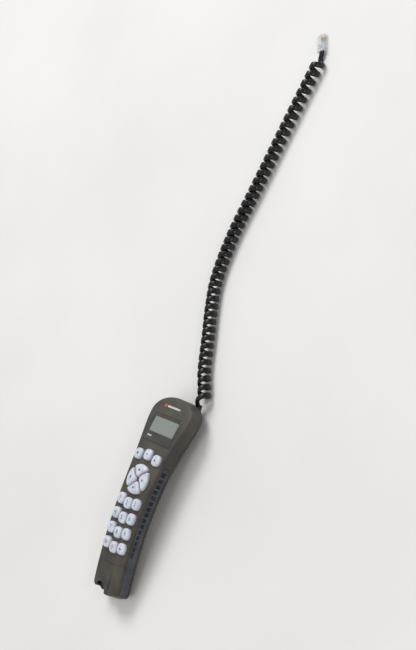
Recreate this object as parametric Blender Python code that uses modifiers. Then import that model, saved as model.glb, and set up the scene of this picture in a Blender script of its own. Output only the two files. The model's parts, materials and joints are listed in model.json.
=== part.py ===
"""Hand controller of a telescope mount, lying on its back: metres, +Z up, head towards +Y."""

import math

import bmesh
import bpy
from mathutils import Vector

# Handset, overall
LENGTH = 0.210
HEAD_HALF_WIDTH = 0.0315
GRIP_HALF_WIDTH = 0.0208
HEAD_CAP = 0.0195  # length of the rounded top of the head
HEAD_ROUNDNESS = 2.2  # superellipse exponent of that top
SHOULDER_REACH = 0.0327  # how far the head's width runs down into the grip
SHOULDER_POWER = 2.1
TAIL_RADIUS = 0.005
TAIL_BOW = 0.0038
FACE_HEIGHT = 0.0345  # highest point of the arched face
FACE_DROP = 0.01317  # from there down to the face at the tail
ARCH_FROM_TOP = 0.098
CROWN = 0.0005
SIDE_DEPTH = 0.0145  # from the face down to the parting line
WALL = 0.002
GAP = 0.0003  # between pieces that touch
EDGE_ROUND = 0.0026
HEAD_BACK_DEPTH = 0.0312
GRIP_BACK_DEPTH = 0.0262
TAIL_BACK_DEPTH = 0.0246
# how the back rolls in: (share of the half width, share of the depth below the parting line)
HEAD_SECTION = ((0.965, 0.08), (0.90, 0.19), (0.80, 0.37), (0.67, 0.60), (0.54, 0.82), (0.41, 1.0))
GRIP_SECTION = ((0.975, 0.11), (0.92, 0.27), (0.83, 0.47), (0.71, 0.70), (0.58, 0.89), (0.44, 1.0))

# Window and display, measured in the plane of the face
WINDOW_FROM_TOP = 0.0358
WINDOW_HALF_HEIGHT = 0.0152
WINDOW_TOP_HALF = 0.0227
WINDOW_BOTTOM_HALF = 0.0226
WINDOW_CORNER = 0.0016
LENS_THICKNESS = 0.0012
LENS_SINK = 0.0003
BEZEL_THICKNESS = 0.0006
DISPLAY_HALF_WIDTH = 0.0195
DISPLAY_HALF_HEIGHT = 0.0083
DISPLAY_OFFSET = 0.0034  # display centre above the window's centre
GLASS_MARGIN = 0.0014
GLASS_THICKNESS = 0.0018
MODULE_HALF_WIDTH = 0.0232
MODULE_HALF_HEIGHT = 0.0155
MODULE_THICKNESS = 0.0016

# Keys
KEY_HALF_WIDTH = 0.0056
KEY_HALF_HEIGHT = 0.0056
KEY_PROUD = 0.0034
KEY_CLEARANCE = 0.0003
KEY_TRAVEL = 0.001
FLANGE_THICKNESS = 0.0008
FLANGE_REACH = 0.0012
COLUMN_GAP = 0.0012
ROW_GAP = 0.00415
ROW_SMILE = 0.0019  # outer keys sit this much nearer the head
FIRST_ROW_FROM_TOP = 0.116
TOP_KEYS_FROM_TOP = 0.0641
TOP_KEY_PITCH = 0.0145
TOP_KEY_DROP = 0.0025  # outer keys sit this much nearer the tail
PAD_FROM_TOP = 0.0905
PAD_HALF_WIDTH = 0.0157
PAD_HALF_HEIGHT = 0.0157
PAD_HUB = 0.0026
PAD_GAP = 0.0018
PAD_SWIRL = math.radians(16)
MAT_THICKNESS = 0.001
MAT_HALF_WIDTH = 0.0178
MAT_MARGIN = 0.0025

# Side grips
GRIP_FROM_TOP = 0.071
GRIP_END_MARGIN = 0.0068
GRIP_TOP_DEPTH = 0.0032
GRIP_BOTTOM_DEPTH = 0.0136
GRIP_PROUD = 0.0006
GRIP_SEAT = 0.0011

# Electronics
BOARD_BOTTOM = 0.0175
BOARD_THICKNESS = 0.0016
BOARD_MARGIN = 0.0016  # between the board and the inside of the wall

# Case screws
SCREW_SHAFT_RADIUS = 0.0013
SCREW_HEAD_RADIUS = 0.0027
SCREW_HEAD_HEIGHT = 0.0018
SCREW_SINK = 0.0014
POST_RADIUS = 0.0029
BOSS_RADIUS = 0.0041
TOP_SCREW_FROM_TOP = 0.0105
TOP_SCREW_RAISE = 0.0045  # its seat is that much higher, under the rolled edge of the head
SHOULDER_SCREW_FROM_TOP = 0.0563
SHOULDER_SCREW_X = 0.0095
TAIL_SCREW_FROM_END = 0.0235
TAIL_SCREW_X = 0.0088

# Tail: port, notch, seam and scoop
PORT_X = -0.0080
PORT_HALF_WIDTH = 0.0058
PORT_LIFT = 0.0036  # above the inside of the back
PORT_HEIGHT = 0.0096
PORT_LENGTH = 0.0125
PORT_WALL = 0.0013
NOTCH_X = -0.0092
NOTCH_RADIUS = 0.0088
NOTCH_REACH = 0.0105
SEAM_FROM_END = 0.0345
SEAM_DEPTH = 0.0028
SEAM_RADIUS = 0.0005
SCOOP_X = 0.0079
SCOOP_LENGTH = 0.0275
SCOOP_RADIUS = 0.0068
SCOOP_DEPTH = 0.0012

# Cord: flat cable wound into a curly cord, with a clear modular plug
CABLE_WIDTH = 0.0058
COIL_RADIUS = 0.007
COIL_HEIGHT = 0.00705
BUSHING_X = 0.0125
BUSHING_HEIGHT = 0.0070
BUSHING_HALF = (0.0042, 0.0028)
BUSHING_NOSE_HALF = (0.0036, 0.0022)
BUSHING_LENGTH = 0.0135
BUSHING_REACH = -0.0050  # nose tip short of the top of the head
COIL_ROUTE = (
    (0.0150, 0.1140), (0.0080, 0.1260), (-0.0020, 0.1430), (-0.0165, 0.1785),
    (-0.0290, 0.2085), (-0.0380, 0.2400), (-0.0395, 0.2875), (-0.0335, 0.3385),
    (-0.0275, 0.3905), (-0.0215, 0.4415), (-0.0155, 0.4880),
)
PLUG_REAR = (-0.0205, 0.5015)
PLUG_HEADING = math.radians(27)  # turned from +Y towards -X
PLUG_HALF_WIDTH = 0.0048
PLUG_HEIGHT = 0.0066
PLUG_LENGTH = 0.0215
PLUG_CORD_HEIGHT = 0.0036
LATCH_HALF_WIDTH = 0.0016
LATCH_THICKNESS = 0.0009
LATCH_LENGTH = 0.0145
LATCH_ANGLE = math.radians(11)

# Positions that follow from those sizes
TOP = LENGTH / 2
END = -LENGTH / 2
ARCH_Y = TOP - ARCH_FROM_TOP
FACE_ARCH = FACE_DROP / (ARCH_Y - END) ** 2
COLUMN_PITCH = 2 * KEY_HALF_WIDTH + COLUMN_GAP
ROW_PITCH = 2 * KEY_HALF_HEIGHT + ROW_GAP
CAP_Y = TOP - HEAD_CAP
HEAD_HUB_Y = CAP_Y - 0.011
TAIL_HUB_Y = END + 0.012
PAD_Y = TOP - PAD_FROM_TOP
WINDOW_Y = TOP - WINDOW_FROM_TOP
KEY_FLANGE_TOP = WALL + GAP + FACE_ARCH * (KEY_HALF_HEIGHT + FLANGE_REACH) ** 2 + CROWN / 2 + 0.14 * EDGE_ROUND
PAD_FLANGE_TOP = WALL + GAP + FACE_ARCH * (PAD_HALF_HEIGHT + FLANGE_REACH) ** 2 + CROWN
MAT_TOP = PAD_FLANGE_TOP + FLANGE_THICKNESS + KEY_TRAVEL + GAP
BOARD_TOP = BOARD_BOTTOM + BOARD_THICKNESS
PORT_BOTTOM = WALL + PORT_LIFT
LAST_ROW_Y = TOP - FIRST_ROW_FROM_TOP - 3 * ROW_PITCH

MATERIALS = {
    "shell": ((0.075, 0.072, 0.066), 0.55, 0.0),
    "grip": ((0.085, 0.087, 0.10), 0.75, 0.0),
    "key": ((0.72, 0.74, 0.78), 0.45, 0.0),
    "window": ((0.30, 0.32, 0.32), 0.08, 0.0),
    "display": ((0.33, 0.37, 0.33), 0.25, 0.0),
    "board": ((0.03, 0.14, 0.07), 0.45, 0.0),
    "chip": ((0.02, 0.02, 0.022), 0.4, 0.0),
    "metal": ((0.55, 0.55, 0.56), 0.35, 1.0),
    "cord": ((0.012, 0.012, 0.013), 0.3, 0.0),
    "plug": ((0.75, 0.78, 0.80), 0.1, 0.0),
}


def clear_scene():
    for found in list(bpy.data.objects):
        bpy.data.objects.remove(found, do_unlink=True)


def new_collection(name):
    made = bpy.data.collections.new(name)
    bpy.context.scene.collection.children.link(made)
    return made


def make_materials():
    made = {}
    for name, (colour, roughness, metallic) in MATERIALS.items():
        material = bpy.data.materials.new(name)
        material.use_nodes = True
        shader = material.node_tree.nodes["Principled BSDF"]
        shader.inputs["Base Color"].default_value = (*colour, 1.0)
        shader.inputs["Roughness"].default_value = roughness
        shader.inputs["Metallic"].default_value = metallic
        made[name] = material
    return made


def face_height(y):
    """Height of the arched face on its centre line."""
    return FACE_HEIGHT - FACE_ARCH * (y - ARCH_Y) ** 2


def face_slope(y):
    return math.atan(-2 * FACE_ARCH * (y - ARCH_Y))


def half_width(y):
    """Half width of the handset below the rounded top of the head."""
    below = max(CAP_Y - y, 0.0) / SHOULDER_REACH
    return GRIP_HALF_WIDTH + (HEAD_HALF_WIDTH - GRIP_HALF_WIDTH) / (1 + below**SHOULDER_POWER)


def headness(y):
    """How much of the head's section applies: 0 along the grip, rising smoothly to 1 at the head."""
    share = min(max((y - ARCH_Y) / (HEAD_HUB_Y - ARCH_Y), 0.0), 1.0)
    return share * share * (3 - 2 * share)


def back_depth(y):
    """Depth of the back below the face: deep head, slimmer grip and tail."""
    towards_tail = min(max((ARCH_Y - y) / (ARCH_Y - TAIL_HUB_Y), 0.0), 1.0)
    return (
        GRIP_BACK_DEPTH
        + (HEAD_BACK_DEPTH - GRIP_BACK_DEPTH) * headness(y)
        + (TAIL_BACK_DEPTH - GRIP_BACK_DEPTH) * towards_tail
    )


def plan_outline(side_steps=22):
    """Right half of the handset's plan, from the top of the head round to the middle of the tail."""
    points = []
    for step in range(9):
        turn = math.radians(5 + 10 * step)
        points.append((
            HEAD_HALF_WIDTH * math.sin(turn) ** (2 / HEAD_ROUNDNESS),
            CAP_Y + HEAD_CAP * math.cos(turn) ** (2 / HEAD_ROUNDNESS),
        ))
    corner_y = END + TAIL_BOW + TAIL_RADIUS
    for step in range(side_steps + 1):
        y = CAP_Y + (corner_y - CAP_Y) * step / side_steps
        points.append((half_width(y), y))
    corner_x = half_width(corner_y) - TAIL_RADIUS
    for turn in (25, 50, 75):
        points.append((
            corner_x + TAIL_RADIUS * math.cos(math.radians(turn)),
            corner_y - TAIL_RADIUS * math.sin(math.radians(turn)),
        ))
    for share in (0.95, 0.65, 0.38, 0.12):
        points.append((corner_x * share, END + TAIL_BOW * share**2))
    return points


def moved_in(point, inset):
    """A plan point moved towards the spine by a distance."""
    x, y = point
    hub_y = min(max(y, TAIL_HUB_Y), HEAD_HUB_Y)
    reach = math.hypot(x, y - hub_y)
    share = 1 - inset / reach
    return x * share, hub_y + (y - hub_y) * share


def object_from(bm, name, collection, material=None, smooth=True):
    bmesh.ops.recalc_face_normals(bm, faces=bm.faces)
    mesh = bpy.data.meshes.new(name)
    bm.to_mesh(mesh)
    bm.free()
    if smooth:
        mesh.shade_smooth()
        mesh.set_sharp_from_angle(angle=math.radians(32))
    made = bpy.data.objects.new(name, mesh)
    collection.objects.link(made)
    if material:
        mesh.materials.append(material)
    return made


def as_cutter(cutter):
    cutter.hide_render = True
    cutter.display_type = "WIRE"
    return cutter


def lofted(rings, name, collection, material=None, smooth=True):
    """Closed solid through rings of equal counts, with flat end caps."""
    bm = bmesh.new()
    loops = [[bm.verts.new(point) for point in ring] for ring in rings]
    count = len(loops[0])
    for lower, upper in zip(loops, loops[1:]):
        for i in range(count):
            bm.faces.new((lower[i], lower[(i + 1) % count], upper[(i + 1) % count], upper[i]))
    bm.faces.new(loops[0])
    bm.faces.new(loops[-1])
    return object_from(bm, name, collection, material, smooth)


def arched_solid(layers, height, crown, name, collection, material=None):
    """Solid with the handset's plan: each layer is an inset function and a drop function."""
    plan = plan_outline()
    bm = bmesh.new()
    shares = (0.6, 0.2, -0.2, -0.6)

    def ring(layer):
        inset, drop = layer
        right = []
        left = []
        for point in plan:
            x, y = moved_in(point, inset(point))
            z = max(height(y) - drop(y), 0.0)
            right.append(bm.verts.new((x, y, z)))
            left.append(bm.verts.new((-x, y, z)))
        return right, left

    made = [ring(layer) for layer in layers]
    for (right, left), (right_up, left_up) in zip(made, made[1:]):
        loop = right + left[::-1]
        loop_up = right_up + left_up[::-1]
        for i in range(len(loop)):
            j = (i + 1) % len(loop)
            bm.faces.new((loop[i], loop[j], loop_up[j], loop_up[i]))
    for (right, left), bulge in ((made[0], 0.0), (made[-1], crown)):
        rows = []
        for a, b in zip(right, left):
            middle = [
                bm.verts.new((a.co.x * share, a.co.y, a.co.z + bulge * (1 - share**2)))
                for share in shares
            ]
            rows.append([a, *middle, b])
        for row, following in zip(rows, rows[1:]):
            for i in range(len(row) - 1):
                bm.faces.new((row[i], row[i + 1], following[i + 1], following[i]))
        for row in (rows[0], rows[-1]):
            bm.faces.new(row)
    return object_from(bm, name, collection, material)


def constant(value):
    return lambda _: value


def front_solid(inset, drop, bottom, name, collection, material=None):
    """Upper half of the handset, moved in from the outer skin by inset and down by drop."""
    layers = [
        (constant(inset), constant(bottom)),
        (constant(inset), constant(drop + EDGE_ROUND + 0.0004)),
        (constant(inset + 0.13 * EDGE_ROUND), constant(drop + 0.5 * EDGE_ROUND)),
        (constant(inset + 0.5 * EDGE_ROUND), constant(drop + 0.14 * EDGE_ROUND)),
        (constant(inset + EDGE_ROUND), constant(drop)),
    ]
    return arched_solid(layers, face_height, CROWN, name, collection, material)


def back_solid(inset, floor, top, name, collection, material=None):
    """Lower half: a side that rolls in to the back, never below the floor height."""
    def rolled(head, grip):
        def inset_at(point):
            x, y = point
            hub_y = min(max(y, TAIL_HUB_Y), HEAD_HUB_Y)
            reach = math.hypot(x, y - hub_y)
            share = grip + (head - grip) * headness(y)
            return inset + (reach - inset) * (1 - share)
        return inset_at

    def dropped(head, grip):
        def drop_at(y):
            share = grip + (head - grip) * headness(y)
            low = face_height(y) - (SIDE_DEPTH + (back_depth(y) - floor - SIDE_DEPTH) * share)
            return face_height(y) - max(low, floor)
        return drop_at

    layers = [(constant(inset), constant(top)), (constant(inset), dropped(0.02, 0.06))]
    for head, grip in zip(HEAD_SECTION, GRIP_SECTION):
        layers.append((rolled(head[0], grip[0]), dropped(head[1], grip[1])))
    return arched_solid(layers, face_height, 0.0, name, collection, material)


def cylinder(radius, low, high, x, y, name, collection, sides=16):
    bm = bmesh.new()
    bmesh.ops.create_cone(
        bm, cap_ends=True, segments=sides, radius1=radius, radius2=radius, depth=high - low
    )
    bmesh.ops.translate(bm, vec=(x, y, (low + high) / 2), verts=bm.verts)
    return object_from(bm, name, collection)


def box(low, high, name, collection, material=None):
    bm = bmesh.new()
    bmesh.ops.create_cube(bm, size=1.0)
    size = Vector(high) - Vector(low)
    bmesh.ops.scale(bm, vec=size, verts=bm.verts)
    bmesh.ops.translate(bm, vec=(Vector(high) + Vector(low)) / 2, verts=bm.verts)
    return object_from(bm, name, collection, material, smooth=False)


def cut(target, cutters, operation="DIFFERENCE"):
    """Boolean with one object or with a whole collection."""
    modifier = target.modifiers.new(operation.lower(), "BOOLEAN")
    modifier.operation = operation
    modifier.solver = "MANIFOLD"
    if isinstance(cutters, bpy.types.Collection):
        modifier.operand_type = "COLLECTION"
        modifier.collection = cutters
    else:
        modifier.object = cutters
    return modifier


def rounded_quad(top_half, bottom_half, half_height, radius, steps=3):
    """Outline of a quadrilateral with round corners, wider or narrower at its top."""
    points = []
    corners = (
        (top_half, half_height, 0), (-top_half, half_height, 90),
        (-bottom_half, -half_height, 180), (bottom_half, -half_height, 270),
    )
    for x, y, start in corners:
        centre_x = x - math.copysign(radius, x)
        centre_y = y - math.copysign(radius, y)
        for step in range(steps + 1):
            turn = math.radians(start + 90 * step / steps)
            points.append((centre_x + radius * math.cos(turn), centre_y + radius * math.sin(turn)))
    return points


def key_outline(half_x, half_y, steps=20, power=3.4):
    """Rounded key outline as a superellipse."""
    points = []
    for step in range(steps):
        turn = 2 * math.pi * (step + 0.5) / steps
        c, s = math.cos(turn), math.sin(turn)
        points.append((
            math.copysign(abs(c) ** (2 / power), c) * half_x,
            math.copysign(abs(s) ** (2 / power), s) * half_y,
        ))
    return points


def petal_outline(quarter, grow, reach=0.0):
    """One quarter of the direction pad: its sides swirl, and its gap to the next stays even."""
    half_x = PAD_HALF_WIDTH + grow + reach
    half_y = PAD_HALF_HEIGHT + grow + reach
    middle = math.radians(90 * quarter)
    hub = PAD_HUB - grow

    def point(share, side):
        radius = hub + (PAD_HALF_HEIGHT + grow - hub) * share
        swirl = PAD_SWIRL * (1 - share)
        margin = (PAD_GAP / 2 - grow) / radius
        turn = middle + swirl + side * (math.radians(45) - margin)
        return radius, turn

    points = []
    for share in (0.0, 0.3, 0.6):
        radius, turn = point(share, -1)
        points.append((radius * math.cos(turn), radius * math.sin(turn)))
    _, first = point(0.86, -1)
    _, last = point(0.86, 1)
    for step in range(7):
        turn = first + (last - first) * step / 6
        squeeze = 0.965 if step in (0, 6) else 1.0
        points.append((half_x * squeeze * math.cos(turn), half_y * squeeze * math.sin(turn)))
    for share in (0.6, 0.3, 0.0):
        radius, turn = point(share, 1)
        points.append((radius * math.cos(turn), radius * math.sin(turn)))
    return points


def lifted(outline, z, scale=1.0):
    """Outline at a height, drawn in towards its own middle."""
    middle_x = sum(x for x, _ in outline) / len(outline)
    middle_y = sum(y for _, y in outline) / len(outline)
    return [
        (middle_x + (x - middle_x) * scale, middle_y + (y - middle_y) * scale, z)
        for x, y in outline
    ]


def on_face(piece, x, y):
    """Puts a piece on the face, square to it."""
    share = x / (half_width(y) - EDGE_ROUND)
    piece.location = (x, y, face_height(y) + CROWN * (1 - share**2))
    piece.rotation_euler = (face_slope(y), 0, 0)
    return piece


def key_places():
    """Name, place and kind of every key."""
    places = []
    for column, name in enumerate(("top_key_left", "top_key_middle", "top_key_right")):
        side = column - 1
        places.append((name, side * TOP_KEY_PITCH, TOP - TOP_KEYS_FROM_TOP - TOP_KEY_DROP * abs(side), None))
    for quarter, name in enumerate(("arrow_key_right", "arrow_key_up", "arrow_key_left", "arrow_key_down")):
        places.append((name, 0.0, PAD_Y, quarter))
    labels = ("1", "2", "3", "4", "5", "6", "7", "8", "9", "menu", "0", "back")
    for index, label in enumerate(labels):
        row, column = divmod(index, 3)
        side = column - 1
        y = TOP - FIRST_ROW_FROM_TOP - row * ROW_PITCH + ROW_SMILE * abs(side)
        places.append((f"number_key_{label}", side * COLUMN_PITCH, y, None))
    return places


def make_key(name, x, y, quarter, parts, cutters, material):
    flange_top = KEY_FLANGE_TOP if quarter is None else PAD_FLANGE_TOP
    if quarter is None:
        stem = key_outline(KEY_HALF_WIDTH, KEY_HALF_HEIGHT)
        flange = key_outline(KEY_HALF_WIDTH, KEY_HALF_HEIGHT + FLANGE_REACH)
        hole = key_outline(KEY_HALF_WIDTH + KEY_CLEARANCE, KEY_HALF_HEIGHT + KEY_CLEARANCE)
    else:
        stem = petal_outline(quarter, 0.0)
        flange = petal_outline(quarter, 0.0, FLANGE_REACH)
        hole = petal_outline(quarter, KEY_CLEARANCE)
    rings = [
        lifted(flange, -flange_top - FLANGE_THICKNESS),
        lifted(flange, -flange_top),
        lifted(stem, -flange_top),
        lifted(stem, KEY_PROUD - 0.0011),
        lifted(stem, KEY_PROUD - 0.0004, 0.94),
        lifted(stem, KEY_PROUD, 0.72),
    ]
    on_face(lofted(rings, name, parts, material), x, y)
    hole_rings = [lifted(hole, -2 * WALL), lifted(hole, KEY_PROUD)]
    on_face(as_cutter(lofted(hole_rings, f"{name}_hole", cutters)), x, y)


def side_band(side, inner, outer, top, bottom, start, end, name, collection, material=None):
    """Band along one side of the grip, between two insets and two depths below the face."""
    steps = 18
    rings = []
    for step in range(steps + 1):
        y = start + (end - start) * step / steps
        squeeze = 0.35 if step == 0 else 0.0
        middle = (top + bottom) / 2
        upper = top + (middle - top) * squeeze
        lower = bottom + (middle - bottom) * squeeze
        x_in = side * (half_width(y) - inner)
        x_out = side * (half_width(y) - outer)
        ease = side * 0.0004
        z = face_height(y)
        rings.append([
            (x_in, y, z - upper), (x_out - ease, y, z - upper), (x_out, y, z - upper - 0.0006),
            (x_out, y, z - lower + 0.0006), (x_out - ease, y, z - lower), (x_in, y, z - lower),
        ])
    return lofted(rings, name, collection, material)


def make_grips(parts, cutters, materials):
    start = TOP - GRIP_FROM_TOP
    end = END + GRIP_END_MARGIN
    for side, name in ((-1, "left_grip"), (1, "right_grip")):
        side_band(
            side, GRIP_SEAT - GAP, -GRIP_PROUD, GRIP_TOP_DEPTH, GRIP_BOTTOM_DEPTH,
            start, end, name, parts, materials["grip"],
        )
        as_cutter(side_band(
            side, GRIP_SEAT, -3 * WALL, GRIP_TOP_DEPTH - GAP, GRIP_BOTTOM_DEPTH + GAP,
            start + GAP, end - GAP, f"{name}_seat", cutters,
        ))


def window_plate(margin, high, low, name, collection, material=None, corner=WINDOW_CORNER):
    """Plate with the window's outline, grown by a margin, square to the face at the window."""
    outline = rounded_quad(
        WINDOW_TOP_HALF + margin, WINDOW_BOTTOM_HALF + margin, WINDOW_HALF_HEIGHT + margin, corner
    )
    plate = lofted([lifted(outline, low), lifted(outline, high)], name, collection, material)
    return on_face(plate, 0.0, WINDOW_Y)


def display_plate(half_width_, half_height_, centre, high, low, name, collection, material=None):
    outline = [
        (x, y + centre) for x, y in rounded_quad(half_width_, half_width_, half_height_, 0.0008, 2)
    ]
    plate = lofted([lifted(outline, low), lifted(outline, high)], name, collection, material)
    return on_face(plate, 0.0, WINDOW_Y)


def make_display(parts, cutters, materials):
    as_cutter(window_plate(0.0, KEY_PROUD, -2 * WALL, "window_opening", cutters))
    window_plate(-GAP, -LENS_SINK, -LENS_SINK - LENS_THICKNESS, "window_lens", parts, materials["window"])
    bezel_top = -LENS_SINK - LENS_THICKNESS - GAP
    bezel_low = bezel_top - BEZEL_THICKNESS
    bezel = window_plate(-GAP, bezel_top, bezel_low, "lcd_bezel", parts, materials["shell"])
    opening = as_cutter(display_plate(
        DISPLAY_HALF_WIDTH, DISPLAY_HALF_HEIGHT, DISPLAY_OFFSET,
        bezel_top + WALL, bezel_low - WALL, "bezel_opening", cutters_for("bezel_cutters"),
    ))
    cut(bezel, opening)
    glass_top = bezel_low - GAP
    glass_low = glass_top - GLASS_THICKNESS
    display_plate(
        DISPLAY_HALF_WIDTH + GLASS_MARGIN, DISPLAY_HALF_HEIGHT + GLASS_MARGIN, DISPLAY_OFFSET,
        glass_top, glass_low, "lcd_glass", parts, materials["display"],
    )
    module_top = glass_low - GAP
    display_plate(
        MODULE_HALF_WIDTH, MODULE_HALF_HEIGHT, 0.0,
        module_top, module_top - MODULE_THICKNESS, "lcd_module", parts, materials["board"],
    )


def cutters_for(name):
    """A collection of helpers inside the cutters' collection."""
    made = bpy.data.collections.new(name)
    bpy.data.collections["cutters"].children.link(made)
    return made


def make_mat(parts, materials):
    """Silicone sheet under the keys, arched like the face."""
    start = TOP - SHOULDER_SCREW_FROM_TOP - POST_RADIUS - 2 * GAP
    end = LAST_ROW_Y - KEY_HALF_HEIGHT - FLANGE_REACH - MAT_MARGIN
    steps = 14
    rings = []
    for step in range(steps + 1):
        y = start + (end - start) * step / steps
        z = face_height(y) - MAT_TOP
        rings.append([
            (-MAT_HALF_WIDTH, y, z - MAT_THICKNESS), (MAT_HALF_WIDTH, y, z - MAT_THICKNESS),
            (MAT_HALF_WIDTH, y, z), (-MAT_HALF_WIDTH, y, z),
        ])
    lofted(rings, "keypad_mat", parts, materials["key"])


def screw_places():
    """Place of every case screw, and how far its seat is raised."""
    shoulder_y = TOP - SHOULDER_SCREW_FROM_TOP
    tail_y = END + TAIL_SCREW_FROM_END
    return (
        (0.0, TOP - TOP_SCREW_FROM_TOP, TOP_SCREW_RAISE),
        (-SHOULDER_SCREW_X, shoulder_y, 0.0), (SHOULDER_SCREW_X, shoulder_y, 0.0),
        (-TAIL_SCREW_X, tail_y, 0.0), (TAIL_SCREW_X, tail_y, 0.0),
    )


def back_height(y):
    return max(face_height(y) - back_depth(y), 0.0)


def screw_seat(y, lift):
    """Height of the face that a screw's head bears on."""
    return back_height(y) + lift + SCREW_SINK + SCREW_HEAD_HEIGHT


def screw_tip(y):
    return face_height(y) - WALL - 3 * GAP


def make_screws(parts, materials):
    for number, (x, y, lift) in enumerate(screw_places(), 1):
        seat = screw_seat(y, lift)
        tip = screw_tip(y)
        profile = (
            (0.0, seat - SCREW_HEAD_HEIGHT), (0.8 * SCREW_HEAD_RADIUS, seat - SCREW_HEAD_HEIGHT),
            (SCREW_HEAD_RADIUS, seat - 0.5 * SCREW_HEAD_HEIGHT), (SCREW_HEAD_RADIUS, seat - GAP),
            (SCREW_SHAFT_RADIUS, seat - GAP), (SCREW_SHAFT_RADIUS, tip - 0.001), (0.0004, tip), (0.0, tip),
        )
        turned(profile[::-1], x, y, f"case_screw_{number}", parts, materials["metal"])


def turned(profile, x, y, name, collection, material=None, steps=14):
    """Turned piece: a profile from top to bottom, spun about a vertical axis with a Screw."""
    mesh = bpy.data.meshes.new(name)
    mesh.from_pydata([(radius, 0.0, z) for radius, z in profile], [(i, i + 1) for i in range(len(profile) - 1)], [])
    made = bpy.data.objects.new(name, mesh)
    collection.objects.link(made)
    made.location = (x, y, 0.0)
    screw = made.modifiers.new("turn", "SCREW")
    screw.axis = "Z"
    screw.steps = steps
    screw.render_steps = steps
    screw.use_merge_vertices = True
    screw.merge_threshold = 0.00001
    screw.use_smooth_shade = True
    if material:
        mesh.materials.append(material)
    return made


def make_shells(parts, materials, front_cuts, back_cuts):
    front = front_solid(0.0, 0.0, SIDE_DEPTH, "front_shell", parts, materials["shell"])
    front_cavity = as_cutter(front_solid(
        WALL, WALL, SIDE_DEPTH + 2 * WALL, "front_cavity", cutters_for("front_cavities")
    ))
    posts = cutters_for("front_posts")
    bosses = cutters_for("back_bosses")
    boss_tops = cutters_for("boss_tops")
    bores = cutters_for("screw_bores")
    tall = FACE_HEIGHT + WALL
    for number, (x, y, lift) in enumerate(screw_places(), 1):
        as_cutter(cylinder(POST_RADIUS, BOARD_TOP + GAP, tall, x, y, f"post_{number}", posts))
        as_cutter(cylinder(
            SCREW_SHAFT_RADIUS + GAP / 2, 0.0, screw_tip(y) + GAP, x, y, f"pilot_{number}", front_cuts
        ))
        boss_top = BOARD_BOTTOM - GAP
        as_cutter(cylinder(BOSS_RADIUS, -WALL, boss_top, x, y, f"boss_{number}", bosses))
        parting = face_height(y) - SIDE_DEPTH
        if parting < boss_top + WALL:
            as_cutter(cylinder(
                BOSS_RADIUS, parting - WALL, boss_top, x, y, f"boss_top_{number}", boss_tops
            ))
        as_cutter(cylinder(
            SCREW_HEAD_RADIUS + GAP, -WALL, screw_seat(y, lift), x, y, f"sink_{number}", back_cuts
        ))
        as_cutter(cylinder(
            SCREW_SHAFT_RADIUS + GAP, 0.0, boss_top + WALL, x, y, f"bore_{number}", bores
        ))
    cut(front_cavity, posts)
    cut(front, front_cavity)
    cut(front, front_cuts)

    back = back_solid(0.0, 0.0, SIDE_DEPTH + GAP, "back_shell", parts, materials["shell"])
    back_cavity = as_cutter(back_solid(
        WALL, WALL, SIDE_DEPTH - 2 * WALL, "back_cavity", cutters_for("back_cavities")
    ))
    cut(back_cavity, bosses)
    cut(back, back_cavity)
    cut(back, boss_tops, "UNION")
    cut(back, back_cuts)
    cut(back, bores)


def tube_mesh(points, radius, name, collection, resolution=1):
    """Round bar along points, as a welded mesh."""
    curve = bpy.data.curves.new(name, "CURVE")
    curve.dimensions = "3D"
    curve.bevel_depth = radius
    curve.bevel_resolution = resolution
    curve.use_fill_caps = True
    spline = curve.splines.new("POLY")
    spline.points.add(len(points) - 1)
    for knot, point in zip(spline.points, points):
        knot.co = (*point, 1.0)
    source = bpy.data.objects.new(f"{name}_curve", curve)
    collection.objects.link(source)
    graph = bpy.context.evaluated_depsgraph_get()
    mesh = bpy.data.meshes.new_from_object(source.evaluated_get(graph))
    bm = bmesh.new()
    bm.from_mesh(mesh)
    bmesh.ops.remove_doubles(bm, verts=bm.verts, dist=0.00001)
    bpy.data.objects.remove(source, do_unlink=True)
    bpy.data.meshes.remove(mesh)
    return object_from(bm, name, collection)


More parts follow.
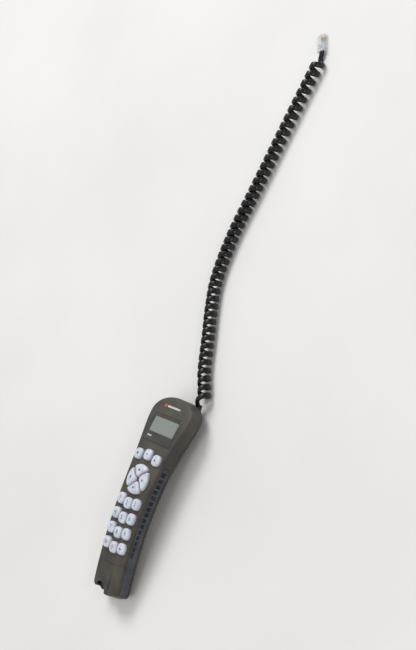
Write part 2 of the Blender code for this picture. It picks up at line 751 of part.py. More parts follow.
def make_tail(parts, front_cuts, materials):
    """Data port with its opening and notch, and the seam and scoop below the keys."""
    low_y = END + WALL + 2 * GAP + TAIL_BOW
    port = box(
        (PORT_X - PORT_HALF_WIDTH, low_y, PORT_BOTTOM),
        (PORT_X + PORT_HALF_WIDTH, low_y + PORT_LENGTH, PORT_BOTTOM + PORT_HEIGHT),
        "data_port", parts, materials["chip"],
    )
    cut(port, as_cutter(box(
        (PORT_X - PORT_HALF_WIDTH + PORT_WALL, low_y - WALL, PORT_BOTTOM + PORT_WALL),
        (PORT_X + PORT_HALF_WIDTH - PORT_WALL, low_y + PORT_LENGTH - PORT_WALL, PORT_BOTTOM + PORT_HEIGHT - PORT_WALL),
        "port_socket", cutters_for("port_cutters"),
    )))
    # the socket's way out passes through the end walls of both shells
    for name, collection in (("port_way_front", front_cuts), ("port_way_back", bpy.data.collections["back_cuts"])):
        as_cutter(box(
            (PORT_X - PORT_HALF_WIDTH + PORT_WALL, END - WALL, PORT_BOTTOM + PORT_WALL),
            (PORT_X + PORT_HALF_WIDTH - PORT_WALL, low_y - GAP / 2, PORT_BOTTOM + PORT_HEIGHT + WALL),
            name, collection,
        ))
    notch_y = END + NOTCH_REACH - NOTCH_RADIUS
    as_cutter(cylinder(
        NOTCH_RADIUS, PORT_BOTTOM + PORT_HEIGHT, FACE_HEIGHT, NOTCH_X, notch_y, "port_notch", front_cuts, 28
    ))
    seam_y = END + SEAM_FROM_END
    points = []
    for step in range(11):
        share = -1 + step / 5
        x = share * (half_width(seam_y) + SEAM_RADIUS)
        y = seam_y - SEAM_DEPTH * (1 - share**2)
        edge = max(abs(x) - (half_width(y) - 1.4 * EDGE_ROUND), 0.0)
        z = face_height(y) + CROWN * (1 - share**2) - 0.35 * edge**2 / EDGE_ROUND
        points.append((x, y, z))
    as_cutter(tube_mesh(points, SEAM_RADIUS, "seam_groove", front_cuts))
    bm = bmesh.new()
    bmesh.ops.create_cone(
        bm, cap_ends=True, segments=16, radius1=SCOOP_RADIUS, radius2=0.0002, depth=SCOOP_LENGTH + WALL
    )
    scoop = as_cutter(object_from(bm, "tail_scoop", front_cuts))
    middle = END + (SCOOP_LENGTH - WALL) / 2
    scoop.scale = (1.0, SCOOP_DEPTH / SCOOP_RADIUS, 1.0)
    scoop.rotation_euler = (math.radians(-90) + face_slope(middle), 0, 0)
    scoop.location = (SCOOP_X, middle, face_height(middle) + CROWN / 2)


def make_board(parts, materials):
    plan = [moved_in(point, WALL + BOARD_MARGIN) for point in plan_outline(12)]
    outline = plan + [(-x, y) for x, y in plan[::-1]]
    board = lofted(
        [[(x, y, BOARD_BOTTOM) for x, y in outline], [(x, y, BOARD_TOP) for x, y in outline]],
        "circuit_board", parts, materials["board"], smooth=False,
    )
    holes = cutters_for("board_holes")
    for number, (x, y, _) in enumerate(screw_places(), 1):
        as_cutter(cylinder(
            SCREW_SHAFT_RADIUS + GAP, BOARD_BOTTOM - WALL, BOARD_TOP + WALL, x, y, f"board_hole_{number}", holes
        ))
    cut(board, holes)
    under = BOARD_BOTTOM - GAP
    for name, x, y, half_x, half_y, thick in (
        ("processor_chip", 0.001, TOP - 0.093, 0.007, 0.007, 0.0016),
        ("driver_chip", -0.002, TOP - 0.042, 0.009, 0.0045, 0.0018),
        ("memory_chip", 0.004, TOP - 0.127, 0.0045, 0.0055, 0.0016),
        ("clock_crystal", -0.006, TOP - 0.115, 0.0022, 0.0052, 0.0032),
    ):
        metal = "metal" if name == "clock_crystal" else "chip"
        box((x - half_x, y - half_y, under - thick), (x + half_x, y + half_y, under), name, parts, materials[metal])


def make_bushing(parts, materials):
    """Rubber bushing that the cord leaves the head through, with its slot in the back shell."""
    nose = TOP + BUSHING_REACH
    rings = []
    for y, (half_x, half_z) in (
        (nose - BUSHING_LENGTH, BUSHING_HALF), (nose - 0.0035, BUSHING_HALF), (nose, BUSHING_NOSE_HALF)
    ):
        outline = key_outline(half_x, half_z, 16, 3.0)
        rings.append([(BUSHING_X + x, y, BUSHING_HEIGHT + z) for x, z in outline])
    lofted(rings, "cord_bushing", parts, materials["cord"])
    slot = key_outline(BUSHING_HALF[0] + GAP, BUSHING_HALF[1] + GAP, 16, 3.0)
    as_cutter(lofted(
        [[(BUSHING_X + x, y, BUSHING_HEIGHT + z) for x, z in slot] for y in (nose - 1.3 * BUSHING_LENGTH, nose + 0.01)],
        "bushing_slot", bpy.data.collections["back_cuts"],
    ))


def smooth_route(points, spacing):
    """Points read from a Catmull-Rom curve through a route, about one spacing apart."""
    knots = [Vector(point) for point in points]
    knots = [2 * knots[0] - knots[1], *knots, 2 * knots[-1] - knots[-2]]
    fine = []
    for i in range(1, len(knots) - 2):
        a, b, c, d = knots[i - 1:i + 3]
        for step in range(20):
            t = step / 20
            fine.append(0.5 * (
                2 * b + (c - a) * t + (2 * a - 5 * b + 4 * c - d) * t**2 + (3 * b - a - 3 * c + d) * t**3
            ))
    fine.append(knots[-2])
    along = [0.0]
    for a, b in zip(fine, fine[1:]):
        along.append(along[-1] + (b - a).length)
    count = max(2, round(along[-1] / spacing) + 1)
    route = []
    for k in range(count):
        wanted = along[-1] * k / (count - 1)
        i = max(j for j in range(len(along)) if along[j] <= wanted + 1e-12)
        i = min(i, len(fine) - 2)
        share = (wanted - along[i]) / (along[i + 1] - along[i])
        route.append(fine[i].lerp(fine[i + 1], share))
    return route


def cord_tube(points, radius, name, collection, material, resolution):
    curve = bpy.data.curves.new(name, "CURVE")
    curve.dimensions = "3D"
    curve.bevel_depth = radius
    curve.bevel_resolution = resolution
    curve.use_fill_caps = True
    spline = curve.splines.new("POLY")
    spline.points.add(len(points) - 1)
    for knot, point in zip(spline.points, points):
        knot.co = (*point, 1.0)
    curve.materials.append(material)
    made = bpy.data.objects.new(name, curve)
    collection.objects.link(made)
    return made


def make_cord(parts, materials):
    coil = smooth_route([(x, y, COIL_HEIGHT) for x, y in COIL_ROUTE], 2 * COIL_RADIUS)
    cord_tube(coil, COIL_RADIUS, "cord_coil", parts, materials["cord"], 2)
    nose = Vector((BUSHING_X, TOP + BUSHING_REACH + 1.5 * GAP, BUSHING_HEIGHT))
    heading = Vector((-math.sin(PLUG_HEADING), math.cos(PLUG_HEADING), 0.0))
    rear = Vector((*PLUG_REAR, PLUG_CORD_HEIGHT)) - heading * GAP
    for name, start, away, finish, back in (
        ("cord_near_end", coil[0], coil[0] - coil[1], nose, Vector((0, 1, 0))),
        ("cord_far_end", coil[-1], coil[-1] - coil[-2], rear, -heading),
    ):
        away.normalize()
        knots = [start + away * 3 * GAP, start + away * CABLE_WIDTH / 3, finish + back * CABLE_WIDTH / 3, finish]
        tail = smooth_route(knots, CABLE_WIDTH / 4)
        cord_tube(tail, CABLE_WIDTH / 2, name, parts, materials["cord"], 2)


def make_plug(parts, materials):
    """Clear modular plug, latch upwards, on an empty that lies along its axis."""
    holder = bpy.data.objects.new("plug_holder", None)
    parts.objects.link(holder)
    holder.location = (*PLUG_REAR, 0.0)
    holder.rotation_euler = (0, 0, PLUG_HEADING)
    floor = 0.0001
    outline = (
        (0.0, 0.0004), (PLUG_LENGTH, 0.0), (PLUG_LENGTH, PLUG_HEIGHT - 0.0012),
        (PLUG_LENGTH - 0.0012, PLUG_HEIGHT - 0.0006), (0.011, PLUG_HEIGHT - 0.0006),
        (0.0095, PLUG_HEIGHT), (0.0, PLUG_HEIGHT),
    )
    rings = [
        [(x, y, floor + z) for y, z in outline]
        for x in (-PLUG_HALF_WIDTH, PLUG_HALF_WIDTH)
    ]
    body = lofted(rings, "plug_body", parts, materials["plug"], smooth=False)
    body.parent = holder

    hinge_y = PLUG_LENGTH - 0.0016
    hinge_z = floor + PLUG_HEIGHT - 0.0006 + GAP + LATCH_THICKNESS
    length = LATCH_LENGTH
    latch_rings = []
    for y, half in ((0.0012, 1.0), (-0.006, 1.0), (-0.0075, 1.9), (-length, 1.6)):
        half_x = LATCH_HALF_WIDTH * half
        latch_rings.append([
            (-half_x, y, -LATCH_THICKNESS), (half_x, y, -LATCH_THICKNESS), (half_x, y, 0.0), (-half_x, y, 0.0),
        ])
    latch = lofted(latch_rings, "plug_latch", parts, materials["plug"], smooth=False)
    latch.parent = holder
    latch.location = (0.0, hinge_y, hinge_z)
    latch.rotation_euler = (-LATCH_ANGLE, 0, 0)


def main():
    clear_scene()
    bpy.context.scene.unit_settings.system = "METRIC"
    parts = new_collection("hand_controller")
    new_collection("cutters")
    front_cuts = cutters_for("front_cuts")
    back_cuts = cutters_for("back_cuts")
    materials = make_materials()
    for name, x, y, quarter in key_places():
        make_key(name, x, y, quarter, parts, front_cuts, materials["key"])
    make_grips(parts, front_cuts, materials)
    make_display(parts, front_cuts, materials)
    make_mat(parts, materials)
    make_tail(parts, front_cuts, materials)
    make_bushing(parts, materials)
    make_shells(parts, materials, front_cuts, back_cuts)
    make_board(parts, materials)
    make_screws(parts, materials)
    make_cord(parts, materials)
    make_plug(parts, materials)


main()
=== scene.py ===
import json
import math
import random

import bmesh
import bpy
from mathutils import Matrix, Vector
from mathutils.bvhtree import BVHTree

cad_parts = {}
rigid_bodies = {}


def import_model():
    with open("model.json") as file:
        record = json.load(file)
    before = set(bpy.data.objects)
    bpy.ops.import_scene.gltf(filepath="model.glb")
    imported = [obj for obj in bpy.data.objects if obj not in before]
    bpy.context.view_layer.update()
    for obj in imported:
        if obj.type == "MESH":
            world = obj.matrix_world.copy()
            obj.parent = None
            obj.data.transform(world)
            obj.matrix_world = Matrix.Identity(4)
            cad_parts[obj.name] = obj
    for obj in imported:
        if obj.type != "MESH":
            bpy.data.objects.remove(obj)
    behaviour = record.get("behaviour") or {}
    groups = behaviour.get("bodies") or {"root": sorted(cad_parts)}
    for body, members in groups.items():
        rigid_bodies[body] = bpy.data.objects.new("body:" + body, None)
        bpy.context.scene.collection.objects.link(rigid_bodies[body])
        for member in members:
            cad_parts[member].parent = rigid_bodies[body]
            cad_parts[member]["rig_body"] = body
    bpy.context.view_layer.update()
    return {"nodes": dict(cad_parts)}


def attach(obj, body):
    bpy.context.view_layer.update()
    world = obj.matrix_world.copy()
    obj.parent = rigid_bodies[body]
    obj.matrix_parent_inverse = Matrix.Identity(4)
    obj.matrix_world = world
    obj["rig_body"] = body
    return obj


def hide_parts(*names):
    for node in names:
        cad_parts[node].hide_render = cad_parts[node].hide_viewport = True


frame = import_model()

random.seed(11)
scene = bpy.context.scene
for extra in [o for o in bpy.data.objects if "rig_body" not in o and not o.name.startswith("body:")]:
    bpy.data.objects.remove(extra, do_unlink=True)  # whatever the startup file holds

# the handset's own shape, shared by its pieces
case = {
    "length": 0.210, "headHalf": 0.0315, "gripHalf": 0.0208, "headCap": 0.0195, "headRoundness": 2.2,
    "shoulderReach": 0.0327, "shoulderPower": 2.1, "tailRadius": 0.005, "tailBow": 0.0038,
    "faceHeight": 0.0345, "faceDrop": 0.01317, "archFromTop": 0.098, "crown": 0.0005,
    "sideDepth": 0.0145, "wall": 0.002, "crownInset": 0.0026, "faceEdge": 0.0020, "gap": 0.0003, "lip": 0.00025,
    "headBack": 0.0312, "gripBack": 0.0262, "tailBack": 0.0246,
    "headSection": ((0.965, 0.08), (0.90, 0.19), (0.80, 0.37), (0.67, 0.60), (0.54, 0.82), (0.41, 1.0)),
    "gripSection": ((0.975, 0.11), (0.92, 0.27), (0.83, 0.47), (0.71, 0.70), (0.58, 0.89), (0.44, 1.0)),
}
topY = case["length"] / 2
endY = -topY
archY = topY - case["archFromTop"]
capY = topY - case["headCap"]
headHubY = capY - 0.011
tailHubY = endY + 0.012
faceArch = case["faceDrop"] / (archY - endY) ** 2


def faceHeight(y):
    return case["faceHeight"] - faceArch * (y - archY) ** 2


def faceSlope(y):
    return math.atan(-2 * faceArch * (y - archY))


def halfWidth(y):
    below = max(capY - y, 0.0) / case["shoulderReach"]
    return case["gripHalf"] + (case["headHalf"] - case["gripHalf"]) / (1 + below ** case["shoulderPower"])


def headness(y):
    share = min(max((y - archY) / (headHubY - archY), 0.0), 1.0)
    return share * share * (3 - 2 * share)


def backDepth(y):
    tailward = min(max((archY - y) / (archY - tailHubY), 0.0), 1.0)
    grip = case["gripBack"]
    return grip + (case["headBack"] - grip) * headness(y) + (case["tailBack"] - grip) * tailward


def planOutline(capSteps=26, sideSteps=110):  # right half of the plan, head first
    points = []
    for step in range(capSteps):
        turn = math.radians(1 + 89 * step / capSteps)
        points.append((
            case["headHalf"] * math.sin(turn) ** (2 / case["headRoundness"]),
            capY + case["headCap"] * math.cos(turn) ** (2 / case["headRoundness"]),
        ))
    cornerY = endY + case["tailBow"] + case["tailRadius"]
    for step in range(sideSteps + 1):
        y = capY + (cornerY - capY) * step / sideSteps
        points.append((halfWidth(y), y))
    cornerX = halfWidth(cornerY) - case["tailRadius"]
    for step in range(1, 8):
        turn = math.radians(step * 11)
        points.append((
            cornerX + case["tailRadius"] * math.cos(turn), cornerY - case["tailRadius"] * math.sin(turn)
        ))
    for step in range(12):
        share = 0.97 - 0.93 * step / 11
        points.append((cornerX * share, endY + case["tailBow"] * share ** 2))
    return points


def hubReach(point):
    x, y = point
    hubY = min(max(y, tailHubY), headHubY)
    return math.hypot(x, y - hubY), hubY


def movedIn(point, inset):
    reach, hubY = hubReach(point)
    share = 1 - inset / reach
    return point[0] * share, hubY + (point[1] - hubY) * share


def addPiece(mesh, name, materials, sharpAngle):
    mesh.shade_smooth()
    mesh.set_sharp_from_angle(angle=math.radians(sharpAngle))
    for material in materials:
        mesh.materials.append(material)
    made = bpy.data.objects.new(name, mesh)
    scene.collection.objects.link(made)
    return made


def finished(bm, name, materials=(), sharpAngle=35):
    bmesh.ops.recalc_face_normals(bm, faces=bm.faces)
    mesh = bpy.data.meshes.new(name)
    bm.to_mesh(mesh)
    bm.free()
    return addPiece(mesh, name, materials, sharpAngle)


def plainMesh(made, name, materials=(), sharpAngle=35):  # the evaluated object as a mesh of its own
    bpy.context.view_layer.update()
    graph = bpy.context.evaluated_depsgraph_get()
    mesh = bpy.data.meshes.new_from_object(made.evaluated_get(graph))
    mesh.transform(made.matrix_world)
    if materials:
        mesh.materials.clear()
    bpy.data.objects.remove(made, do_unlink=True)
    mesh.name = name
    return addPiece(mesh, name, materials, sharpAngle)


def addBand(bm, low, high):  # faces between two closed loops
    for corners in zip(low, low[1:] + low[:1], high[1:] + high[:1], high):
        bm.faces.new(corners)


def addRings(bm, rings, closedTop=True):
    loops = [[bm.verts.new(point) for point in ring] for ring in rings]
    for low, high in zip(loops, loops[1:]):
        addBand(bm, low, high)
    bm.faces.new(loops[0])
    if closedTop:
        bm.faces.new(loops[-1])
    return loops


def loft(rings, name, materials=(), sharpAngle=35):
    bm = bmesh.new()
    addRings(bm, rings)
    return finished(bm, name, materials, sharpAngle)


def atHeight(outline, z):
    return [(x, y, z) for x, y in outline]


def stacked(layers, name, materials=()):  # a loft through outlines, each at its own height
    return loft([atHeight(outline, z) for outline, z in layers], name, materials)


def carve(target, cutters, name, materials, sharpAngle=35):
    for cutter in cutters:
        modifier = target.modifiers.new("cut", "BOOLEAN")
        modifier.operation = "DIFFERENCE"
        modifier.solver = "MANIFOLD"
        modifier.object = cutter
    made = plainMesh(target, name, materials, sharpAngle)
    for cutter in cutters:
        bpy.data.objects.remove(cutter, do_unlink=True)
    return made


def placeOnFace(made, x, y):  # a piece drawn round the origin is set square on the face, in its mesh
    share = x / (halfWidth(y) - case["crownInset"])
    height = faceHeight(y) + case["crown"] * (1 - share ** 2)
    made.data.transform(Matrix.Translation((x, y, height)) @ Matrix.Rotation(faceSlope(y), 4, "X"))
    return made


def nodeMaterial(name, roughness, metallic=0.0, **sockets):
    material = bpy.data.materials.new(name)
    material.use_nodes = True
    shader = material.node_tree.nodes["Principled BSDF"]
    shader.inputs["Roughness"].default_value = roughness
    shader.inputs["Metallic"].default_value = metallic
    for socket, value in sockets.items():
        shader.inputs[socket.replace("_", " ")].default_value = value
    return material, material.node_tree, shader


def objectNoise(tree, scale, detail):
    place = tree.nodes.new("ShaderNodeTexCoord")
    noise = tree.nodes.new("ShaderNodeTexNoise")
    noise.inputs["Scale"].default_value = scale
    noise.inputs["Detail"].default_value = detail
    tree.links.new(place.outputs["Object"], noise.inputs["Vector"])
    return noise.outputs["Fac"]


def spread(tree, source, low, high):  # the middle of a noise, stretched between two values
    rise = tree.nodes.new("ShaderNodeMapRange")
    for socket, value in (("From Min", 0.35), ("From Max", 0.65), ("To Min", low), ("To Max", high)):
        rise.inputs[socket].default_value = value
    tree.links.new(source, rise.inputs["Value"])
    return rise.outputs["Result"]


def tint(tree, source, dark, light):
    mix = tree.nodes.new("ShaderNodeMix")
    mix.data_type = "RGBA"
    mix.inputs["A"].default_value = (*dark, 1)
    mix.inputs["B"].default_value = (*light, 1)
    tree.links.new(source, mix.inputs["Factor"])
    return mix.outputs["Result"]


def bumped(tree, shader, source, strength, distance):
    bump = tree.nodes.new("ShaderNodeBump")
    bump.inputs["Strength"].default_value = strength
    bump.inputs["Distance"].default_value = distance
    tree.links.new(source, bump.inputs["Height"])
    tree.links.new(bump.outputs["Normal"], shader.inputs["Normal"])


def texturedFinish(name, dark, light, roughness, grain, grainDepth, cloud=60, metallic=0.0, **sockets):
    material, tree, shader = nodeMaterial(name, roughness[0], metallic, **sockets)
    clouds = objectNoise(tree, cloud, 4)
    fine = objectNoise(tree, grain, 2)
    tree.links.new(tint(tree, spread(tree, clouds, 0, 1), dark, light), shader.inputs["Base Color"])
    tree.links.new(spread(tree, fine, *roughness), shader.inputs["Roughness"])
    bumped(tree, shader, fine, 0.6, grainDepth)
    return material


def rgb(red, green, blue):  # from screen values 0 to 255
    return tuple(((v / 255 + 0.055) / 1.055) ** 2.4 if v > 10 else v / 255 / 12.92 for v in (red, green, blue))


caseFinish = texturedFinish(
    "mouldedCase", rgb(66, 63, 58), rgb(84, 80, 73), (0.42, 0.62), 2600, 0.00004, 45,
    Specular_IOR_Level=0.32,
)
panelFinish = texturedFinish(
    "windowSurround", rgb(58, 57, 54), rgb(70, 68, 64), (0.20, 0.32), 1800, 0.00001, 60,
    Coat_Weight=0.35, Coat_Roughness=0.12,
)
gripFinish = texturedFinish(
    "gripRubber", rgb(60, 62, 69), rgb(80, 82, 91), (0.62, 0.82), 3200, 0.00005, 90,
    Sheen_Weight=0.25, Sheen_Roughness=0.4,
)
keyFinish = texturedFinish(
    "siliconeKey", rgb(196, 200, 214), rgb(222, 225, 236), (0.30, 0.46), 2400, 0.000012, 160,
    Subsurface_Weight=0.25, Subsurface_Scale=0.0015, Coat_Weight=0.15, Coat_Roughness=0.25,
)
inkFinish = texturedFinish("keyPrint", rgb(74, 77, 90), rgb(98, 101, 114), (0.5, 0.6), 3000, 0.000004, 200)
paleInkFinish = texturedFinish("palePrint", rgb(188, 188, 184), rgb(214, 214, 210), (0.45, 0.6), 3000, 0.000004, 200)
orangeInkFinish = texturedFinish("orangePrint", rgb(196, 84, 44), rgb(224, 104, 58), (0.4, 0.55), 3000, 0.000004, 200)
cordFinish = texturedFinish(
    "cordJacket", rgb(5, 5, 6), rgb(11, 11, 12), (0.28, 0.40), 1600, 0.00002, 80,
    Specular_IOR_Level=0.35, Coat_Weight=0.12, Coat_Roughness=0.08,
)
bootFinish = texturedFinish("rubberBoot", rgb(20, 20, 21), rgb(32, 32, 34), (0.5, 0.68), 2600, 0.00004, 120)
blackFinish = texturedFinish("mouldedBlack", rgb(18, 18, 19), rgb(30, 30, 32), (0.35, 0.5), 2200, 0.00002, 90)
boardFinish = texturedFinish("solderMask", rgb(12, 22, 17), rgb(20, 32, 25), (0.3, 0.45), 900, 0.00003, 140)
steelFinish = texturedFinish(
    "platedSteel", rgb(150, 150, 152), rgb(186, 186, 190), (0.25, 0.42), 1500, 0.00001, 300, 1.0
)
goldFinish = texturedFinish("goldContact", rgb(196, 150, 70), rgb(226, 184, 96), (0.2, 0.34), 1500, 0.00001, 300, 1.0)


def clearFinish(name, colour, alpha, roughness, **sockets):
    material, tree, shader = nodeMaterial(name, roughness, 0.0, Alpha=alpha, **sockets)
    clouds = objectNoise(tree, 260, 3)
    shade = tint(tree, spread(tree, clouds, 0, 1), [0.94 * c for c in colour], colour)
    tree.links.new(shade, shader.inputs["Base Color"])
    tree.links.new(spread(tree, clouds, roughness, roughness * 1.6), shader.inputs["Roughness"])
    return material


paneFinish = clearFinish("clearPane", rgb(150, 158, 152), 0.16, 0.05, IOR=1.49)
plugFinish = clearFinish("clearPlug", rgb(222, 228, 232), 0.36, 0.05, IOR=1.58, Coat_Weight=0.6, Coat_Roughness=0.05)


def mathNode(tree, operation, *values):  # each value is a number or a socket
    node = tree.nodes.new("ShaderNodeMath")
    node.operation = operation
    for socket, value in zip(node.inputs, values):
        if isinstance(value, float):
            socket.default_value = value
        else:
            tree.links.new(value, socket)
    return node.outputs[0]


def crystalFinish():  # grey-green display with two rows of faint dot cells
    cell = {"pitchX": 0.0021, "pitchY": 0.0052, "dotPitch": 0.00038}
    material, tree, shader = nodeMaterial("liquidCrystal", 0.22, 0.0, Coat_Weight=0.4, Coat_Roughness=0.08)
    place = tree.nodes.new("ShaderNodeTexCoord")
    split = tree.nodes.new("ShaderNodeSeparateXYZ")
    tree.links.new(place.outputs["Object"], split.inputs["Vector"])

    def band(axis, pitch, width):
        wrapped = mathNode(tree, "FRACT", mathNode(tree, "DIVIDE", split.outputs[axis], pitch))
        return mathNode(tree, "LESS_THAN", wrapped, width)

    cells = mathNode(tree, "MULTIPLY", band("X", cell["pitchX"], 0.84), band("Y", cell["pitchY"], 0.72))
    dots = mathNode(tree, "MULTIPLY", band("X", cell["dotPitch"], 0.82), band("Y", cell["dotPitch"], 0.82))
    shade = tint(tree, mathNode(tree, "MULTIPLY", cells, dots), rgb(156, 164, 154), rgb(148, 156, 146))
    clouds = objectNoise(tree, 40, 2)
    blend = tree.nodes.new("ShaderNodeMix")
    blend.data_type = "RGBA"
    blend.inputs["B"].default_value = (*rgb(164, 172, 162), 1)
    tree.links.new(spread(tree, clouds, 0.0, 0.5), blend.inputs["Factor"])
    tree.links.new(shade, blend.inputs["A"])
    tree.links.new(blend.outputs["Result"], shader.inputs["Base Color"])
    bumped(tree, shader, dots, 0.15, 0.00001)
    return material


lcdFinish = crystalFinish()
print("materials ready")


def copiesTree(name):  # puts a copy of one shape on every marked point
    tree = bpy.data.node_groups.new(name, "GeometryNodeTree")
    face = tree.interface
    face.new_socket("Geometry", in_out="INPUT", socket_type="NodeSocketGeometry")
    face.new_socket("Shape", in_out="INPUT", socket_type="NodeSocketObject")
    face.new_socket("Size", in_out="INPUT", socket_type="NodeSocketFloat").default_value = 1.0
    face.new_socket("Finish", in_out="INPUT", socket_type="NodeSocketMaterial")
    face.new_socket("Geometry", in_out="OUTPUT", socket_type="NodeSocketGeometry")
    start = tree.nodes.new("NodeGroupInput")
    end = tree.nodes.new("NodeGroupOutput")
    shape = tree.nodes.new("GeometryNodeObjectInfo")
    spots = tree.nodes.new("GeometryNodeInstanceOnPoints")
    stored = {}
    for key in ("turn", "grow"):
        stored[key] = tree.nodes.new("GeometryNodeInputNamedAttribute")
        stored[key].data_type = "FLOAT_VECTOR"
        stored[key].inputs["Name"].default_value = key
    sized = tree.nodes.new("ShaderNodeVectorMath")
    sized.operation = "SCALE"
    real = tree.nodes.new("GeometryNodeRealizeInstances")
    paint = tree.nodes.new("GeometryNodeSetMaterial")
    for source, output, target, entry in (
        (start, "Geometry", spots, "Points"), (start, "Shape", shape, "Object"), (shape, "Geometry", spots, "Instance"),
        (stored["turn"], "Attribute", spots, "Rotation"), (stored["grow"], "Attribute", sized, 0),
        (start, "Size", sized, "Scale"), (sized, "Vector", spots, "Scale"), (spots, "Instances", real, "Geometry"),
        (real, "Geometry", paint, "Geometry"), (start, "Finish", paint, "Material"),
        (paint, "Geometry", end, "Geometry"),
    ):
        tree.links.new(source.outputs[output], target.inputs[entry])
    return tree


copies = copiesTree("copiesOnPoints")


def setInput(modifier, name, value):
    found = [i for i in modifier.node_group.interface.items_tree if i.name == name and i.in_out == "INPUT"]
    modifier[found[0].identifier] = value


def placeCopies(shape, places, name, material, size=1.0):  # places: (point, turn, grow)
    mesh = bpy.data.meshes.new(name)
    mesh.from_pydata([place[0] for place in places], [], [])
    for key, column in (("turn", 1), ("grow", 2)):
        values = mesh.attributes.new(key, "FLOAT_VECTOR", "POINT")
        for i, place in enumerate(places):
            values.data[i].vector = place[column]
    made = bpy.data.objects.new(name, mesh)
    scene.collection.objects.link(made)
    modifier = made.modifiers.new("copies", "NODES")
    modifier.node_group = copies
    setInput(modifier, "Shape", shape)
    setInput(modifier, "Size", size)
    setInput(modifier, "Finish", material)
    made = plainMesh(made, name, [material])
    bpy.data.objects.remove(shape, do_unlink=True)
    return made


def roundedBox(size, radius, name, segments=3):
    bm = bmesh.new()
    bmesh.ops.create_cube(bm, size=1.0)
    bmesh.ops.scale(bm, vec=size, verts=bm.verts)
    bmesh.ops.bevel(bm, geom=bm.edges[:], offset=radius, segments=segments, profile=0.5, affect="EDGES")
    return finished(bm, name, (), 40)


view = {
    "place": (1.005, 0.083, 0.8795), "forward": (-0.711, 0.196, -0.675), "up": (-0.120, 0.912, 0.392),
    "aimRight": -0.0961, "aimDown": 0.0917, "lens": 72.0,
}


def addCamera():
    forward = Vector(view["forward"]).normalized()
    right = forward.cross(Vector(view["up"])).normalized()
    up = right.cross(forward)
    aimed = (forward + right * view["aimRight"] - up * view["aimDown"]).normalized()
    turned = forward.rotation_difference(aimed)
    forward, right, up = aimed, turned @ right, turned @ up
    camera = bpy.data.objects.new("camera", bpy.data.cameras.new("camera"))
    scene.collection.objects.link(camera)
    camera.matrix_world = Matrix.Translation(view["place"]) @ Matrix((right, up, -forward)).transposed().to_4x4()
    camera.data.lens = view["lens"]
    camera.data.sensor_width = 36.0
    camera.data.clip_start = 0.02
    scene.camera = camera


addCamera()

# one flat cable, straight out of the head, wound into the coil, and into its plug
cord = {
    "width": 0.0058, "thickness": 0.0025, "coilRadius": 0.00572, "height": 0.00705, "turns": 42.5,
    "stepsPerTurn": 26,
    "nose": (0.0125, 0.10045), "noseHeight": 0.0070,
    "route": (
        (0.0150, 0.1140), (0.0080, 0.1260), (-0.0020, 0.1430), (-0.0165, 0.1785), (-0.0290, 0.2085),
        (-0.0380, 0.2400), (-0.0395, 0.2875), (-0.0335, 0.3385), (-0.0275, 0.3905), (-0.0215, 0.4415),
        (-0.0155, 0.4880),
    ),
    "plugRear": (-0.0205, 0.5015), "plugHeading": math.radians(27), "plugCordHeight": 0.0036,
    "openStart": 0.10, "openEnd": 0.28,  # how much further apart the turns are at its two ends
}
heading = Vector((-math.sin(cord["plugHeading"]), math.cos(cord["plugHeading"]), 0))


def throughPoints(points, steps):  # a Catmull-Rom curve, with so many steps between two points
    knots = [2 * points[0] - points[1], *points, 2 * points[-1] - points[-2]]
    fine = []
    for i in range(1, len(knots) - 2):
        a, b, c, d = knots[i - 1:i + 3]
        for step in range(steps):
            t = step / steps
            fine.append(0.5 * (
                2 * b + (c - a) * t + (2 * a - 5 * b + 4 * c - d) * t ** 2 + (3 * b - a - 3 * c + d) * t ** 3
            ))
    fine.append(knots[-2])
    return fine


def smoothRoute(points, count):  # evenly spaced points of a smooth curve
    fine = throughPoints([Vector(point) for point in points], 40)
    along = [0.0]
    for a, b in zip(fine, fine[1:]):
        along.append(along[-1] + (b - a).length)
    route = []
    i = 0
    for k in range(count):
        wanted = along[-1] * k / (count - 1)
        while i < len(fine) - 2 and along[i + 1] < wanted:
            i += 1
        route.append(fine[i].lerp(fine[i + 1], (wanted - along[i]) / (along[i + 1] - along[i])))
    return route


def softBend(start, startWay, end, endWay, reach, count):  # a cubic from one direction into another
    a, b, c, d = start, start + startWay.normalized() * reach[0], end - endWay.normalized() * reach[1], end
    points = []
    for step in range(count):
        t = step / (count - 1)
        points.append(a * (1 - t) ** 3 + 3 * b * t * (1 - t) ** 2 + 3 * c * t ** 2 * (1 - t) + d * t ** 3)
    return points


def cordPath():  # the centre line, and which way the flat of the cable faces
    up = Vector((0, 0, 1))
    axis = smoothRoute([(x, y, cord["height"]) for x, y in cord["route"]], 1200)
    steps = round(cord["turns"] * cord["stepsPerTurn"])
    path, facing = [], []
    for step in range(steps + 1):
        share = step / steps
        wound = share + cord["openStart"] / 6 * math.sin(math.pi * share) * (1 - share)
        wound -= cord["openEnd"] / 6 * math.sin(math.pi * share) * share
        spot = min(max(wound, 0.0), 1.0) * (len(axis) - 1)
        i = min(int(spot), len(axis) - 2)
        centre = axis[i].lerp(axis[i + 1], spot - i)
        side = up.cross((axis[i + 1] - axis[i]).normalized())
        turn = math.pi / 2 + 2 * math.pi * cord["turns"] * share
        out = up * math.sin(turn) + side * math.cos(turn)
        path.append(centre + out * cord["coilRadius"])
        facing.append(out)
    nose = Vector((*cord["nose"], cord["noseHeight"]))
    lead = softBend(nose, Vector((0, 1, 0)), path[0], path[1] - path[0], (0.0055, 0.0075), 18)
    rear = Vector((*cord["plugRear"], cord["plugCordHeight"])) + heading * 0.0012
    onFloor = path[-1] - path[-2]
    onFloor.z = 0.0
    tail = softBend(path[-1], onFloor, rear, heading, (0.0075, 0.0050), 20)
    path = lead[:-1] + path + tail[1:]
    facing = [up] * (len(lead) - 1) + facing + [-up] * (len(tail) - 1)
    return path, facing


